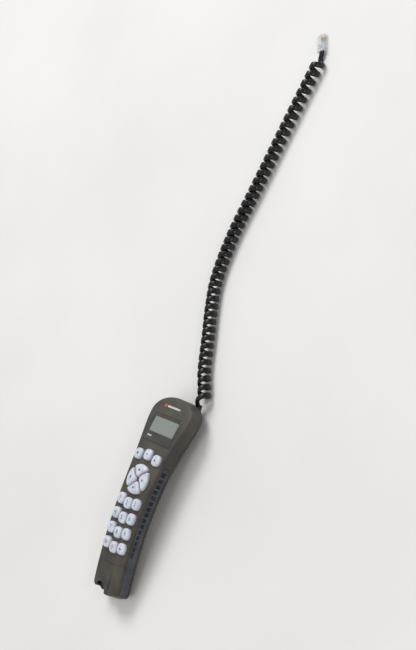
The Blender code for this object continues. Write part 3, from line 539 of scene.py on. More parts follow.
def cableSection():  # rounded rectangle, as (across, out) pairs
    half, thick, radius = cord["width"] / 2, cord["thickness"] / 2, cord["thickness"] * 0.42
    section = []
    for cornerX, cornerY, start in ((1, 1, 0), (-1, 1, 90), (-1, -1, 180), (1, -1, 270)):
        for step in range(4):
            turn = math.radians(start + 30 * step)
            x, y = cornerX * (half - radius), cornerY * (thick - radius)
            section.append((x + radius * math.cos(turn), y + radius * math.sin(turn)))
    return section


def makeCord():
    path, facing = cordPath()
    section = cableSection()
    rings = []
    for i, point in enumerate(path):
        ahead = (path[min(i + 1, len(path) - 1)] - path[max(i - 1, 0)]).normalized()
        out = (facing[i] - ahead * facing[i].dot(ahead)).normalized()
        across = ahead.cross(out)
        rings.append([point + across * a + out * b for a, b in section])
    made = loft(rings, "curlyCord", [cordFinish], 50)
    length = sum((b - a).length for a, b in zip(path, path[1:]))
    print("cord made, length", round(length, 3))
    return made, path


curlyCord, cordLine = makeCord()
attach(curlyCord, "handset")
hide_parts("cord_near_end", "cord_coil", "cord_far_end")


def archedSolid(layers, crown, name, columns=24):  # each layer is an inset and a drop below the face
    plan = planOutline()
    bm = bmesh.new()
    shares = [1 - 2 * step / columns for step in range(1, columns)]
    made = []
    for inset, drop in layers:
        right, left = [], []
        for point in plan:
            x, y = movedIn(point, inset(point))
            z = max(faceHeight(y) - drop(y), 0.0)
            right.append(bm.verts.new((x, y, z)))
            left.append(bm.verts.new((-x, y, z)))
        made.append((right, left))
    for (right, left), (rightUp, leftUp) in zip(made, made[1:]):
        addBand(bm, right + left[::-1], rightUp + leftUp[::-1])
    for (right, left), bulge in ((made[0], 0.0), (made[-1], crown)):
        rows = []
        for a, b in zip(right, left):
            rise = bulge * min(a.co.x / (case["gripHalf"] - case["faceEdge"]), 1.0) ** 2
            middle = [bm.verts.new((a.co.x * s, a.co.y, a.co.z + rise * (1 - s ** 2))) for s in shares]
            rows.append([a, *middle, b])
        for row, following in zip(rows, rows[1:]):
            for i in range(len(row) - 1):
                bm.faces.new((row[i], row[i + 1], following[i + 1], following[i]))
        for row in (rows[0], rows[-1]):
            bm.faces.new(row)
    return finished(bm, name, (), 28)


def steady(value):
    return lambda _: value


def frontSolid(inset, drop, bottom, name, steps=8, lip=0.0):
    edge = case["faceEdge"]
    layers = [(steady(inset + lip), steady(bottom))]
    if lip:
        layers.append((steady(inset), steady(bottom - 1.2 * lip)))
    layers.append((steady(inset), steady(drop + edge + 0.0004)))
    for step in range(1, steps + 1):
        turn = math.radians(90 * step / steps)
        layers.append((steady(inset + edge * (1 - math.cos(turn))), steady(drop + edge * (1 - math.sin(turn)))))
    return archedSolid(layers, case["crown"], name)


def smoothSection():  # head and grip sections, eased between their points
    head = [(1.0, 0.02), *case["headSection"]]
    grip = [(1.0, 0.06), *case["gripSection"]]
    return throughPoints([Vector((*a, *b)) for a, b in zip(head, grip)], 4)


def backSolid(inset, floor, top, name, lip=0.0):
    side = case["sideDepth"]

    def rolled(head, grip):
        def insetAt(point):
            reach, _ = hubReach(point)
            share = grip + (head - grip) * headness(point[1])
            return inset + (reach - inset) * (1 - share)
        return insetAt

    def dropped(head, grip):
        def dropAt(y):
            share = grip + (head - grip) * headness(y)
            low = faceHeight(y) - (side + (backDepth(y) - floor - side) * share)
            return faceHeight(y) - max(low, floor)
        return dropAt

    layers = [(steady(inset + lip), steady(top))]
    if lip:
        layers.append((steady(inset), steady(top + 1.2 * lip)))
    for headShare, headDeep, gripShare, gripDeep in smoothSection():
        layers.append((rolled(headShare, gripShare), dropped(headDeep, gripDeep)))
    return archedSolid(layers, 0.0, name)


def post(radius, low, high, x, y, name, sides=32):
    bm = bmesh.new()
    bmesh.ops.create_cone(bm, cap_ends=True, segments=sides, radius1=radius, radius2=radius, depth=high - low)
    bmesh.ops.translate(bm, vec=(x, y, (low + high) / 2), verts=bm.verts)
    return finished(bm, name)


def block(low, high, name):
    bm = bmesh.new()
    bmesh.ops.create_cube(bm, size=1.0)
    bmesh.ops.scale(bm, vec=Vector(high) - Vector(low), verts=bm.verts)
    bmesh.ops.translate(bm, vec=(Vector(high) + Vector(low)) / 2, verts=bm.verts)
    return finished(bm, name)


keys = {
    "halfWidth": 0.0058, "halfHeight": 0.0059, "proud": 0.0034, "skirt": 0.0028, "power": 2.7,
    "round": 0.0019, "roundSteps": 8, "roundDraw": 0.85, "dome": 0.00040,  # its edge, and the rise of its top
    "holeClearance": 0.00025, "holeFlare": 0.00022, "columnPitch": 0.0124, "rowPitch": 0.01535, "rowSmile": 0.0019,
    "firstRow": topY - 0.116, "topRow": topY - 0.0641, "topPitch": 0.0145, "topDrop": 0.0025,
    "padY": topY - 0.0905, "padHalfWidth": 0.0157, "padHalfHeight": 0.0157, "padHub": 0.0026, "padGap": 0.0018,
    "padSwirl": math.radians(16), "digitSize": 0.0046, "arrowSize": 0.0056, "signLift": 0.00004,
}


def keyOutline(halfX, halfY, steps=56):
    points = []
    for step in range(steps):
        turn = 2 * math.pi * (step + 0.5) / steps
        c, s = math.cos(turn), math.sin(turn)
        points.append((
            math.copysign(abs(c) ** (2 / keys["power"]), c) * halfX,
            math.copysign(abs(s) ** (2 / keys["power"]), s) * halfY,
        ))
    return points


def petalOutline(quarter, grow):  # one quarter of the direction pad, its corners eased
    halfX, halfY = keys["padHalfWidth"] + grow, keys["padHalfHeight"] + grow
    middle = math.radians(90 * quarter)
    hub = keys["padHub"] - grow

    def spoke(share, side):
        radius = hub + (keys["padHalfHeight"] + grow - hub) * share
        swirl = keys["padSwirl"] * (1 - share)
        margin = (keys["padGap"] / 2 - grow) / radius
        return radius, middle + swirl + side * (math.radians(45) - margin)

    def flank(side):
        spots = [spoke(share, side) for share in (0.0, 0.15, 0.3, 0.45, 0.6, 0.75)]
        return [(radius * math.cos(turn), radius * math.sin(turn)) for radius, turn in spots]

    points = flank(-1)
    first, last = spoke(0.86, -1)[1], spoke(0.86, 1)[1]
    for step in range(13):
        turn = first + (last - first) * step / 12
        squeeze = 0.965 if step in (0, 12) else 1.0
        points.append((halfX * squeeze * math.cos(turn), halfY * squeeze * math.sin(turn)))
    points += flank(1)[::-1]
    for _ in range(2):  # cut the corners twice
        eased = []
        for a, b in zip(points, points[1:] + points[:1]):
            eased.append((0.75 * a[0] + 0.25 * b[0], 0.75 * a[1] + 0.25 * b[1]))
            eased.append((0.25 * a[0] + 0.75 * b[0], 0.25 * a[1] + 0.75 * b[1]))
        points = eased
    return points


def drawnIn(outline, inset):  # an outline moved in by a distance, along its own normals
    count = len(outline)
    moved = []
    for i, (x, y) in enumerate(outline):
        ax, ay = outline[i - 1]
        bx, by = outline[(i + 1) % count]
        length = math.hypot(bx - ax, by - ay)
        moved.append((x - (by - ay) / length * inset, y + (bx - ax) / length * inset))
    return moved


def relaxed(outline, times):  # an outline with its corners eased
    for _ in range(times):
        ahead = outline[1:] + outline[:1]
        behind = outline[-1:] + outline[:-1]
        outline = [
            (0.25 * a[0] + 0.5 * b[0] + 0.25 * c[0], 0.25 * a[1] + 0.5 * b[1] + 0.25 * c[1])
            for a, b, c in zip(behind, outline, ahead)
        ]
    return outline


def keySpots():  # name, place, quarter of the pad, print
    spots = []
    for column, name in enumerate(("top_key_left", "top_key_middle", "top_key_right")):
        side = column - 1
        spots.append((name, side * keys["topPitch"], keys["topRow"] - keys["topDrop"] * abs(side), None, name))
    for quarter, name in enumerate(("arrow_key_right", "arrow_key_up", "arrow_key_left", "arrow_key_down")):
        spots.append((name, 0.0, keys["padY"], quarter, name))
    for index, label in enumerate(("1", "2", "3", "4", "5", "6", "7", "8", "9", "menu", "0", "back")):
        row, column = divmod(index, 3)
        side = column - 1
        y = keys["firstRow"] - row * keys["rowPitch"] + keys["rowSmile"] * abs(side)
        spots.append((f"number_key_{label}", side * keys["columnPitch"], y, None, label))
    return spots


def bar(low, high, half):
    return [(-half, low), (half, low), (half, high), (-half, high)]


signs = {  # simple shapes for the keys that carry no digit, in units of the digit's height
    "menu": [bar(0.22, 0.36, 0.4), bar(-0.07, 0.07, 0.4), bar(-0.36, -0.22, 0.4)],
    "back": [[(-0.45, 0.0), (-0.05, 0.34), (-0.05, 0.1), (0.42, 0.1), (0.42, -0.1), (-0.05, -0.1), (-0.05, -0.34)]],
    "top_key_left": [[(0.3 * math.cos(math.radians(a)), 0.3 * math.sin(math.radians(a))) for a in range(0, 360, 20)]],
    "top_key_middle": [bar(-0.08, 0.08, 0.42)],
    "top_key_right": [[(-0.32, -0.28), (0.32, -0.28), (0.0, 0.34)]],
    "arrow": [[(0.30, 0.0), (-0.16, 0.34), (-0.16, -0.34)]],
}


def surfaceUnder(mesh):  # height of a mesh's top at any x and y
    tree = BVHTree.FromPolygons([v.co for v in mesh.vertices], [list(p.vertices) for p in mesh.polygons])

    def heightAt(x, y):
        hit = tree.ray_cast(Vector((x, y, 0.1)), Vector((0, 0, -1)))[0]
        return hit.z if hit else 0.0
    return heightAt


def signMesh(label, centre, turn, size, heightAt):  # print a hair above the key's top, as one closed shape
    lift = keys["signLift"]
    bm = bmesh.new()
    if label in signs:
        for shape in signs[label]:
            low = [bm.verts.new((x * size, y * size, -1)) for x, y in shape]
            high = [bm.verts.new((x * size, y * size, 1)) for x, y in shape]
            bm.faces.new(low)
            bm.faces.new(high)
            addBand(bm, low, high)
    else:
        curve = bpy.data.curves.new("digit", "FONT")
        curve.body = label
        curve.size = size * 1.35
        curve.extrude = 1.0
        curve.align_x, curve.align_y = "CENTER", "CENTER"
        curve.resolution_u = 4
        text = bpy.data.objects.new("digit", curve)
        scene.collection.objects.link(text)
        mesh = bpy.data.meshes.new_from_object(text.evaluated_get(bpy.context.evaluated_depsgraph_get()))
        bm.from_mesh(mesh)
        bpy.data.objects.remove(text, do_unlink=True)
        bpy.data.meshes.remove(mesh)
        bmesh.ops.remove_doubles(bm, verts=bm.verts, dist=0.000001)
    for normal in (Vector((1, 0, 0)), Vector((0, 1, 0))):  # cut small, so that it can follow the dome
        for step in range(-6, 7):
            bmesh.ops.bisect_plane(
                bm, geom=[*bm.verts, *bm.edges, *bm.faces], plane_co=normal * (step * size / 9), plane_no=normal
            )
    c, s = math.cos(turn), math.sin(turn)
    for vert in bm.verts:
        x, y = centre[0] + vert.co.x * c - vert.co.y * s, centre[1] + vert.co.x * s + vert.co.y * c
        vert.co = (x, y, heightAt(x, y) + (lift if vert.co.z > 0 else -2 * lift))
    bmesh.ops.recalc_face_normals(bm, faces=bm.faces)
    return bm


def makeKey(name, x, y, quarter, label):
    outline = keyOutline(keys["halfWidth"], keys["halfHeight"]) if quarter is None else petalOutline(quarter, 0.0)
    bm = bmesh.new()
    rings = [atHeight(outline, -keys["skirt"]), atHeight(outline, keys["proud"] - keys["round"] - keys["dome"])]
    ring, inset = outline, 0.0
    for step in range(1, keys["roundSteps"] + 1):
        turn = math.radians(90 * step / keys["roundSteps"])
        further = keys["round"] * (1 - math.cos(turn)) * keys["roundDraw"]
        ring = drawnIn(ring, further - inset)
        if quarter is not None:
            ring = relaxed(ring, 2 + step)
        inset = further
        rings.append(atHeight(ring, keys["proud"] - keys["dome"] - keys["round"] * (1 - math.sin(turn))))
    loops = addRings(bm, rings, closedTop=False)
    inner = [Vector(vert.co) for vert in loops[-1]]
    middle = sum(inner, Vector()) / len(inner)
    for scale in (0.8, 0.6, 0.4, 0.2):
        ring = []
        for point in inner:
            moved = middle + (point - middle) * scale
            moved.z = keys["proud"] - keys["dome"] * scale ** 2
            ring.append(bm.verts.new(moved))
        addBand(bm, loops[-1], ring)
        loops.append(ring)
    tip = bm.verts.new((middle.x, middle.y, keys["proud"]))
    for i in range(len(ring)):
        bm.faces.new((ring[i], ring[(i + 1) % len(ring)], tip))
    eased = [tip, *(vert for loop in loops[-7:] for vert in loop)]
    for _ in range(6):  # takes out the creases that a petal's corners would leave
        bmesh.ops.smooth_vert(bm, verts=eased, factor=0.5, use_axis_z=True)
    top = max(vert.co.z for vert in eased)
    for vert in eased:
        vert.co.z += keys["proud"] - top
    bmesh.ops.recalc_face_normals(bm, faces=bm.faces)
    body = bpy.data.meshes.new(name)
    bm.to_mesh(body)
    bm.free()

    if quarter is None:
        printed = signMesh(label, (0.0, 0.0), 0.0, keys["digitSize"], surfaceUnder(body))
    else:
        spot = (middle.x * 0.92, middle.y * 0.92)
        printed = signMesh("arrow", spot, math.radians(90 * quarter), keys["arrowSize"], surfaceUnder(body))
    for face in printed.faces:
        face.material_index = 1  # ink
    printed.from_mesh(body)
    made = bpy.data.meshes.new(f"{name}_cap")
    printed.to_mesh(made)
    printed.free()
    bpy.data.meshes.remove(body)
    cap = placeOnFace(addPiece(made, f"{name}_cap", (keyFinish, inkFinish), 50), x, y)
    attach(cap, name)
    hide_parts(name)
    grow = keys["holeClearance"]
    if quarter is None:
        hole = keyOutline(keys["halfWidth"] + grow, keys["halfHeight"] + grow)
    else:
        hole = petalOutline(quarter, grow)
    flared = drawnIn(hole, -keys["holeFlare"])
    layers = ((hole, -0.005), (hole, -0.0002), (flared, 0.00025), (flared, 0.004))
    return placeOnFace(stacked(layers, f"{name}_hole"), x, y)


keyHoles = [makeKey(*spot) for spot in keySpots()]
print("keys made", len(keyHoles))

# window, display and its surround
window = {
    "y": topY - 0.0358, "halfHeight": 0.0152, "topHalf": 0.0227, "bottomHalf": 0.0226, "corner": 0.0016,
    "sink": 0.0003, "thick": 0.0012, "displayHalf": (0.0195, 0.0083), "displayUp": 0.0034, "displayCorner": 0.0009,
    "bevel": 0.0002, "paneGap": 0.00005, "screenGap": 0.00008, "holeFlare": 0.00022,
}


def roundedQuad(topHalf, bottomHalf, halfHeight, radius, steps=8):
    points = []
    corners = (
        (topHalf, halfHeight, 0), (-topHalf, halfHeight, 90), (-bottomHalf, -halfHeight, 180),
        (bottomHalf, -halfHeight, 270),
    )
    for x, y, start in corners:
        centreX, centreY = x - math.copysign(radius, x), y - math.copysign(radius, y)
        for step in range(steps + 1):
            turn = math.radians(start + 90 * step / steps)
            points.append((centreX + radius * math.cos(turn), centreY + radius * math.sin(turn)))
    return points


def windowOutline(margin):
    return roundedQuad(
        window["topHalf"] + margin, window["bottomHalf"] + margin, window["halfHeight"] + margin, window["corner"]
    )


def displayOutline(margin):
    halfX, halfY = (half + margin for half in window["displayHalf"])
    quad = roundedQuad(halfX, halfX, halfY, window["displayCorner"] + margin)
    return [(x, y + window["displayUp"]) for x, y in quad]


def makeWindow():
    bevel, high = window["bevel"], -window["sink"]
    low = high - window["thick"]
    outer, opening = windowOutline(-case["gap"]), displayOutline(0.0)
    panel = stacked((
        (outer, low), (outer, high - bevel), (drawnIn(outer, bevel * 0.3), high - bevel * 0.3),
        (drawnIn(outer, bevel), high),
    ), "panelBlank")
    hole = stacked((
        (opening, low - 0.001), (opening, high - 0.0004), (displayOutline(0.0005), high),
        (displayOutline(0.0006), high + 0.0005),
    ), "panelHole")
    panel = carve(panel, [hole], "windowPanel", [panelFinish], 30)
    clear, lit = displayOutline(-window["paneGap"]), displayOutline(-window["screenGap"])
    pane = stacked(((clear, high - 0.0007), (clear, high - 0.0004)), "windowPane", [paneFinish])
    screen = stacked((
        (lit, low + 0.0001), (lit, high - 0.00085), (drawnIn(lit, 0.0001), high - 0.00078),
    ), "displayScreen", [lcdFinish])
    for piece, node, slotName in (
        (panel, "window_lens", "shell"), (pane, None, "window"), (screen, "lcd_glass", "display")
    ):
        placeOnFace(piece, 0.0, window["y"])
        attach(piece, "handset")
        if node:
            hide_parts(node)
    edge, flared = windowOutline(0.0), windowOutline(window["holeFlare"])
    cutter = stacked(((edge, -0.004), (edge, -0.0002), (flared, 0.00022), (flared, 0.004)), "windowOpening")
    return panel, placeOnFace(cutter, 0.0, window["y"])


windowPanel, windowOpening = makeWindow()
print("window made")

# side grips: a soft strip with a ladder of ribs let into it
grip = {
    "start": topY - 0.071, "end": endY + 0.0068, "topDepth": 0.0032, "bottomDepth": 0.0136, "proud": 0.0006,
    "seat": 0.0011, "squeeze": 0.35, "squeezeLength": 0.008, "edge": 0.0008, "edgeFall": 0.0006, "runOut": 0.0030,
    "ladderStart": 0.0300, "ladderEnd": -0.0600, "ladderTop": 0.0046, "ladderBottom": 0.0104, "ladderDeep": 0.0014,
    "taper": 0.55, "cells": 15, "sideEase": 0.0002, "endEase": 0.0003,
    "rib": (0.0011, 0.0021), "ribRound": 0.0004, "ribSink": 0.00062, "ribOverlap": 0.0006,
    "alongSteps": 420, "acrossSteps": 44,
}


def easedStep(value, low, high):
    share = min(max((value - low) / (high - low), 0.0), 1.0)
    return share * share * (3 - 2 * share)


def within(value, low, high, ease):  # 1 between two values and 0 beyond them
    return min(easedStep(value, low - ease, low + ease), easedStep(-value, -high - ease, -high + ease))


def gripDepths(y):  # upper and lower edge of the strip, drawn together at its head end
    squeeze = grip["squeeze"] * (1 - easedStep(grip["start"] - y, 0.0, grip["squeezeLength"]))
    middle = (grip["topDepth"] + grip["bottomDepth"]) / 2
    return (
        grip["topDepth"] + (middle - grip["topDepth"]) * squeeze,
        grip["bottomDepth"] + (middle - grip["bottomDepth"]) * squeeze,
    )


def ladderDepths(y):  # the ladder narrows towards the tail
    share = (grip["ladderStart"] - y) / (grip["ladderStart"] - grip["ladderEnd"])
    shrink = grip["taper"] * easedStep(share, 0.30, 1.1)
    high, low = grip["ladderTop"], grip["ladderBottom"]
    return high + (low - high) * shrink * 0.2, low - (low - high) * shrink


def gripSurface(y, depth):  # how far the strip stands out of the case at one place
    high, low = gripDepths(y)
    fromEdge = min(depth - high, low - depth, grip["start"] - y, (y - grip["end"]) * grip["edge"] / grip["runOut"])
    rounding = 1 - min(max(fromEdge / grip["edge"], 0.0), 1.0)
    inside = min(
        within(depth, *ladderDepths(y), grip["sideEase"]),
        within(y, grip["ladderEnd"], grip["ladderStart"], grip["endEase"]),
    )
    return grip["proud"] - grip["edgeFall"] * rounding ** 2 - grip["ladderDeep"] * inside


def makeGripStrip(side, name):
    alongSteps, acrossSteps = grip["alongSteps"], grip["acrossSteps"]
    bm = bmesh.new()
    outer, inner = [], []
    for i in range(alongSteps + 1):
        y = grip["start"] + (grip["end"] - grip["start"]) * i / alongSteps
        high, low = gripDepths(y)
        seatX = halfWidth(y) - grip["seat"] + case["gap"]
        outerRow, innerRow = [], []
        for j in range(acrossSteps + 1):
            depth = high + (low - high) * j / acrossSteps
            x = halfWidth(y) + gripSurface(y, depth)
            outerRow.append(bm.verts.new((side * x, y, faceHeight(y) - depth)))
            if j in (0, acrossSteps):
                innerRow.append(bm.verts.new((side * seatX, y, faceHeight(y) - depth)))
        outer.append(outerRow)
        inner.append(innerRow)
    for i in range(alongSteps):
        for j in range(acrossSteps):
            bm.faces.new((outer[i][j], outer[i][j + 1], outer[i + 1][j + 1], outer[i + 1][j]))
        bm.faces.new((inner[i][0], inner[i + 1][0], inner[i + 1][1], inner[i][1]))
        bm.faces.new((inner[i][0], outer[i][0], outer[i + 1][0], inner[i + 1][0]))
        bm.faces.new((inner[i][1], inner[i + 1][1], outer[i + 1][-1], outer[i][-1]))
    bm.faces.new([inner[0][0], inner[0][1], *outer[0][::-1]])
    bm.faces.new([inner[-1][1], inner[-1][0], *outer[-1]])
    made = finished(bm, name, [gripFinish], 40)
    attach(made, "handset")
    return made


def makeRibs(side, name):  # one rounded bar on each step of the ladder
    shape = roundedBox((*grip["rib"], 1.0), grip["ribRound"], "ribShape")
    for vert in shape.data.vertices:  # a unit tall bar whose ends keep their rounding
        vert.co.z = math.copysign(0.5 - (0.5 - abs(vert.co.z)) * 0.35, vert.co.z)
    places = []
    for i in range(1, grip["cells"]):
        y = grip["ladderStart"] + (grip["ladderEnd"] - grip["ladderStart"]) * i / grip["cells"]
        high, low = ladderDepths(y)
        lean = math.atan((halfWidth(y + 0.001) - halfWidth(y - 0.001)) / 0.002)
        spot = (side * (halfWidth(y) + grip["proud"] - grip["ribSink"]), y, faceHeight(y) - (high + low) / 2)
        places.append((spot, (faceSlope(y), 0.0, -side * lean), (1.0, 1.0, low - high + grip["ribOverlap"])))
    made = placeCopies(shape, places, name, gripFinish)
    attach(made, "handset")
    return made


for side, name in ((-1, "left_grip"), (1, "right_grip")):
    strip = makeGripStrip(side, f"{name}Strip")
    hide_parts(name)
    makeRibs(side, f"{name}Ribs")
print("grips made")

# screws, port, seam, scoop and the carved shells
screws = {
    "shaft": 0.0013, "shaftLength": 0.006, "head": 0.0027, "headHeight": 0.0018, "sink": 0.0014,
    "boss": 0.0041, "bossTop": 0.0172, "cross": (0.0016, 0.00032, 0.0008),
    "places": (
        (0.0, topY - 0.0105, 0.0045), (-0.0095, topY - 0.0563, 0.0), (0.0095, topY - 0.0563, 0.0),
        (-0.0088, endY + 0.0235, 0.0), (0.0088, endY + 0.0235, 0.0),
    ),
}
port = {
    "x": -0.0080, "half": 0.0058, "low": 0.0056, "height": 0.0096, "wall": 0.0013,
    "contact": (0.00055, 0.0075, 0.0004), "contacts": 6,
    "contactFrom": 0.003, "contactPitch": 0.0012, "contactLean": 0.12,
}
tail = {
    "notchX": -0.0092, "notchRadius": 0.0088, "notchReach": 0.0105, "seamUp": 0.0345, "seamDip": 0.0028,
    "seamRadius": 0.00045, "scoopX": 0.0072, "scoopLength": 0.0285, "scoopLean": 0.0046, "scoopSpread": 0.0026,
    "scoopDepth": 0.0017,
}
boot = {
    "x": 0.0125, "z": 0.0070, "half": (0.0042, 0.0028), "endHalf": (0.0033, 0.0017), "sideways": 0.0007,
    "nose": topY - 0.0050, "length": 0.0135, "reach": 0.0068, "ringPitch": 0.0017, "ringDepth": 0.0002, "steps": 60,
}


def seatHeight(y, lift):
    return max(faceHeight(y) - backDepth(y), 0.0) + lift + screws["sink"] + screws["headHeight"]


def seamCutter():  # a thin groove across the face, over its rounded edges and down to the grips
    y0, edge = endY + tail["seamUp"], case["faceEdge"]
    flat = halfWidth(y0) - edge
    half = [(x / 20 * flat, 0.0) for x in range(21)]
    half += [(flat, turn) for turn in range(15, 91, 15)]
    spots = [(-1, x, turn) for x, turn in reversed(half[1:])] + [(1, x, turn) for x, turn in half]
    spots = [(-1, flat, 91), *spots, (1, flat, 91)]
    rings = []
    for side, x, turn in spots:
        down = grip["topDepth"] - edge if turn > 90 else 0.0
        lean = math.radians(min(turn, 90))
        out = Vector((side * math.sin(lean), 0, math.cos(lean)))
        y = y0 - tail["seamDip"] * (1 - (x / flat) ** 2)
        z = faceHeight(y) - edge + case["crown"] * (1 - (x / flat) ** 2) - down
        spot = Vector((side * x, y, z)) + out * (edge - tail["seamRadius"] * 0.1)
        rings.append([
            spot + Vector((0, tail["seamRadius"] * math.cos(a), 0)) + out * tail["seamRadius"] * math.sin(a)
            for a in (math.radians(36 * k) for k in range(10))
        ])
    return loft(rings, "seamGroove")


def scoopCutter():  # a groove that opens towards the tail, steep on its left and shallow on its right
    rings = []
    for step in range(13):
        share = step / 12
        y = endY + tail["scoopLength"] - (tail["scoopLength"] + 0.002) * share
        top = faceHeight(y) + case["crown"] + 0.002
        left = tail["scoopX"] - tail["scoopLean"] * share
        deep = tail["scoopDepth"] * share ** 0.8
        right = tail["scoopX"] + tail["scoopSpread"] * share
        floor = faceHeight(y) + case["crown"] * 0.9
        rings.append([
            (left - 0.0004, y, top), (left - 0.0004, y, floor), (left - 0.0001, y, floor - 0.2 * deep),
            (left + 0.25 * deep, y, floor - 0.92 * deep), (left + 0.45 * deep, y, floor - deep),
            (left + 0.80 * deep + 0.1 * (right - left), y, floor - 0.97 * deep),
            (left + 0.62 * (right - left), y, floor - 0.45 * deep), (right, y, floor), (right, y, top),
        ])
    return loft(rings, "tailScoop")


def gripSeat(side):
    rings = []
    for i in range(61):
        share = i / 60
        y = grip["start"] + case["gap"] + (grip["end"] - grip["start"] - 2 * case["gap"]) * share
        high, low = gripDepths(min(y, grip["start"]))
        high, low = high - case["gap"], low + case["gap"]
        inner, out = halfWidth(y) - grip["seat"], halfWidth(y) + 0.006
        ring = [(inner, high), (out, high), (out, low), (inner, low)]
        rings.append([(side * x, y, faceHeight(y) - depth) for x, depth in ring])
    return loft(rings, f"gripSeat{side}")


def portWay():
    low = endY + case["wall"] + 2 * case["gap"] + case["tailBow"]
    return (
        (port["x"] - port["half"] + port["wall"], endY - 0.002, port["low"] + port["wall"]),
        (port["x"] + port["half"] - port["wall"], low - case["gap"] / 2, port["low"] + port["height"] + case["wall"]),
    )


def makeFront():
    side, wall = case["sideDepth"], case["wall"]
    front = frontSolid(0.0, 0.0, side, "frontBlank", lip=case["lip"])
    cavity = frontSolid(wall, wall, side + 2 * wall, "frontCavity", 4)
    notchY = endY + tail["notchReach"] - tail["notchRadius"]
    cutters = [cavity, *keyHoles, windowOpening, gripSeat(1), gripSeat(-1), seamCutter(), scoopCutter()]
    cutters.append(post(
        tail["notchRadius"], port["low"] + port["height"], case["faceHeight"], tail["notchX"], notchY, "notch", 56
    ))
    cutters.append(block(*portWay(), "portWayFront"))
    made = carve(front, cutters, "frontCase", [caseFinish], 28)
    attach(made, "handset")
    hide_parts("front_shell")
    return made


def bootSlot():
    half = (boot["half"][0] + case["gap"], boot["half"][1] + case["gap"])
    ring = keyOutline(*half, 40)
    return loft([
        [(boot["x"] + x, y, boot["z"] + z) for x, z in ring] for y in (boot["nose"] - 0.0176, boot["nose"] + 0.01)
    ], "bootSlot")


def makeBack():
    side, wall = case["sideDepth"], case["wall"]
    back = backSolid(0.0, 0.0, side + case["gap"], "backBlank", lip=case["lip"])
    cavity = backSolid(wall, wall, side - 2 * wall, "backCavity")
    bosses = []
    cutters = []
    for number, (x, y, lift) in enumerate(screws["places"], 1):
        bosses.append(post(screws["boss"], -wall, screws["bossTop"], x, y, f"boss{number}"))
        cutters.append(post(screws["head"] + case["gap"], -wall, seatHeight(y, lift), x, y, f"sink{number}", 40))
        cutters.append(post(screws["shaft"] + case["gap"], 0.0, screws["bossTop"] + wall, x, y, f"bore{number}", 24))
    cavity = carve(cavity, bosses, "backCavityCut", [])
    cutters += [bootSlot(), block(*portWay(), "portWayBack")]
    made = carve(back, [cavity, *cutters], "backCase", [caseFinish], 28)
    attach(made, "handset")
    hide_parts("back_shell")
    return made


frontCase = makeFront()
backCase = makeBack()
print("case made")


def makeScrews():  # pan head with a cross, seen from the back
    head, tall = screws["head"], screws["headHeight"]
    bm = bmesh.new()
    profile = [(0.62 * head, 0.0), (0.82 * head, 0.08 * tall), (0.95 * head, 0.24 * tall), (head, 0.5 * tall)]
    under = tall - case["gap"]
    profile += [(head, under), (screws["shaft"], under), (screws["shaft"], tall + screws["shaftLength"])]
    rings = [
        [(r * math.cos(math.radians(a)), r * math.sin(math.radians(a)), z) for a in range(0, 360, 10)]
        for r, z in profile
    ]
    addRings(bm, rings)
    blank = finished(bm, "screwBlank", (), 40)
    reach, thin, deep = screws["cross"]
    arms = [block((-x, -y, -0.001), (x, y, deep), "crossArm") for x, y in ((reach, thin), (thin, reach))]
    shape = carve(blank, arms, "screwShape", [steelFinish], 40)
    places = []
    for x, y, lift in screws["places"]:
        places.append(((x, y, seatHeight(y, lift) - tall), (0, 0, random.uniform(0, math.pi)), (1, 1, 1)))
    made = placeCopies(shape, places, "caseScrews", steelFinish)
    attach(made, "handset")
    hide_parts(*(f"case_screw_{n}" for n in range(1, 6)))


makeScrews()


def makeContacts():  # sprung contacts in the data socket
    shape = roundedBox(port["contact"], 0.00012, "contactShape", 2)
    y, z = endY + case["tailBow"] + 0.0082, port["low"] + port["wall"] + port["contact"][2]
    places = []
    for i in range(port["contacts"]):
        x = port["x"] - port["contactFrom"] + port["contactPitch"] * i
        places.append(((x, y, z), (port["contactLean"], 0, 0), (1, 1, 1)))
    made = placeCopies(shape, places, "portContacts", goldFinish)
    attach(made, "handset")


makeContacts()


def makeBoot():  # tapered strain relief with rings moulded round it
    start, end = boot["nose"] - boot["length"], boot["nose"] + boot["reach"]
    rings = []
    for i in range(boot["steps"] + 1):
        share = i / boot["steps"]
        y = start + (end - start) * share
        outside = easedStep(y, boot["nose"] - 0.002, boot["nose"] + 0.001)
        taper = easedStep(y, boot["nose"] - 0.0005, end)
        halfX, halfZ = (wide + (thin - wide) * taper for wide, thin in zip(boot["half"], boot["endHalf"]))
        wave = outside * boot["ringDepth"] * (math.cos(2 * math.pi * (y - boot["nose"]) / boot["ringPitch"]) - 1)
        ends = 0.0005 * (1 - easedStep(share, 0.0, 0.04)) + 0.0003 * easedStep(share, 0.97, 1.0)
        sideways = boot["sideways"] * easedStep(y, boot["nose"], end)
        ring = keyOutline(halfX + wave - ends, halfZ + wave - ends, 40)
        rings.append([(boot["x"] + sideways + x, y, boot["z"] + z) for x, z in ring])
    made = loft(rings, "cordBoot", [bootFinish], 60)
    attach(made, "handset")
    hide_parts("cord_bushing")


makeBoot()
print("screws, contacts and boot made")

# print on the face: a plain dot and stripes
printing = {
    "dot": (-0.0128, topY - 0.0112, 0.0017), "stripe": (0.0006, topY - 0.0112, 0.0102, 0.0010),
    "mark": (-0.0140, topY - 0.0453, 0.0034, 0.0007), "lift": 0.00004,
}


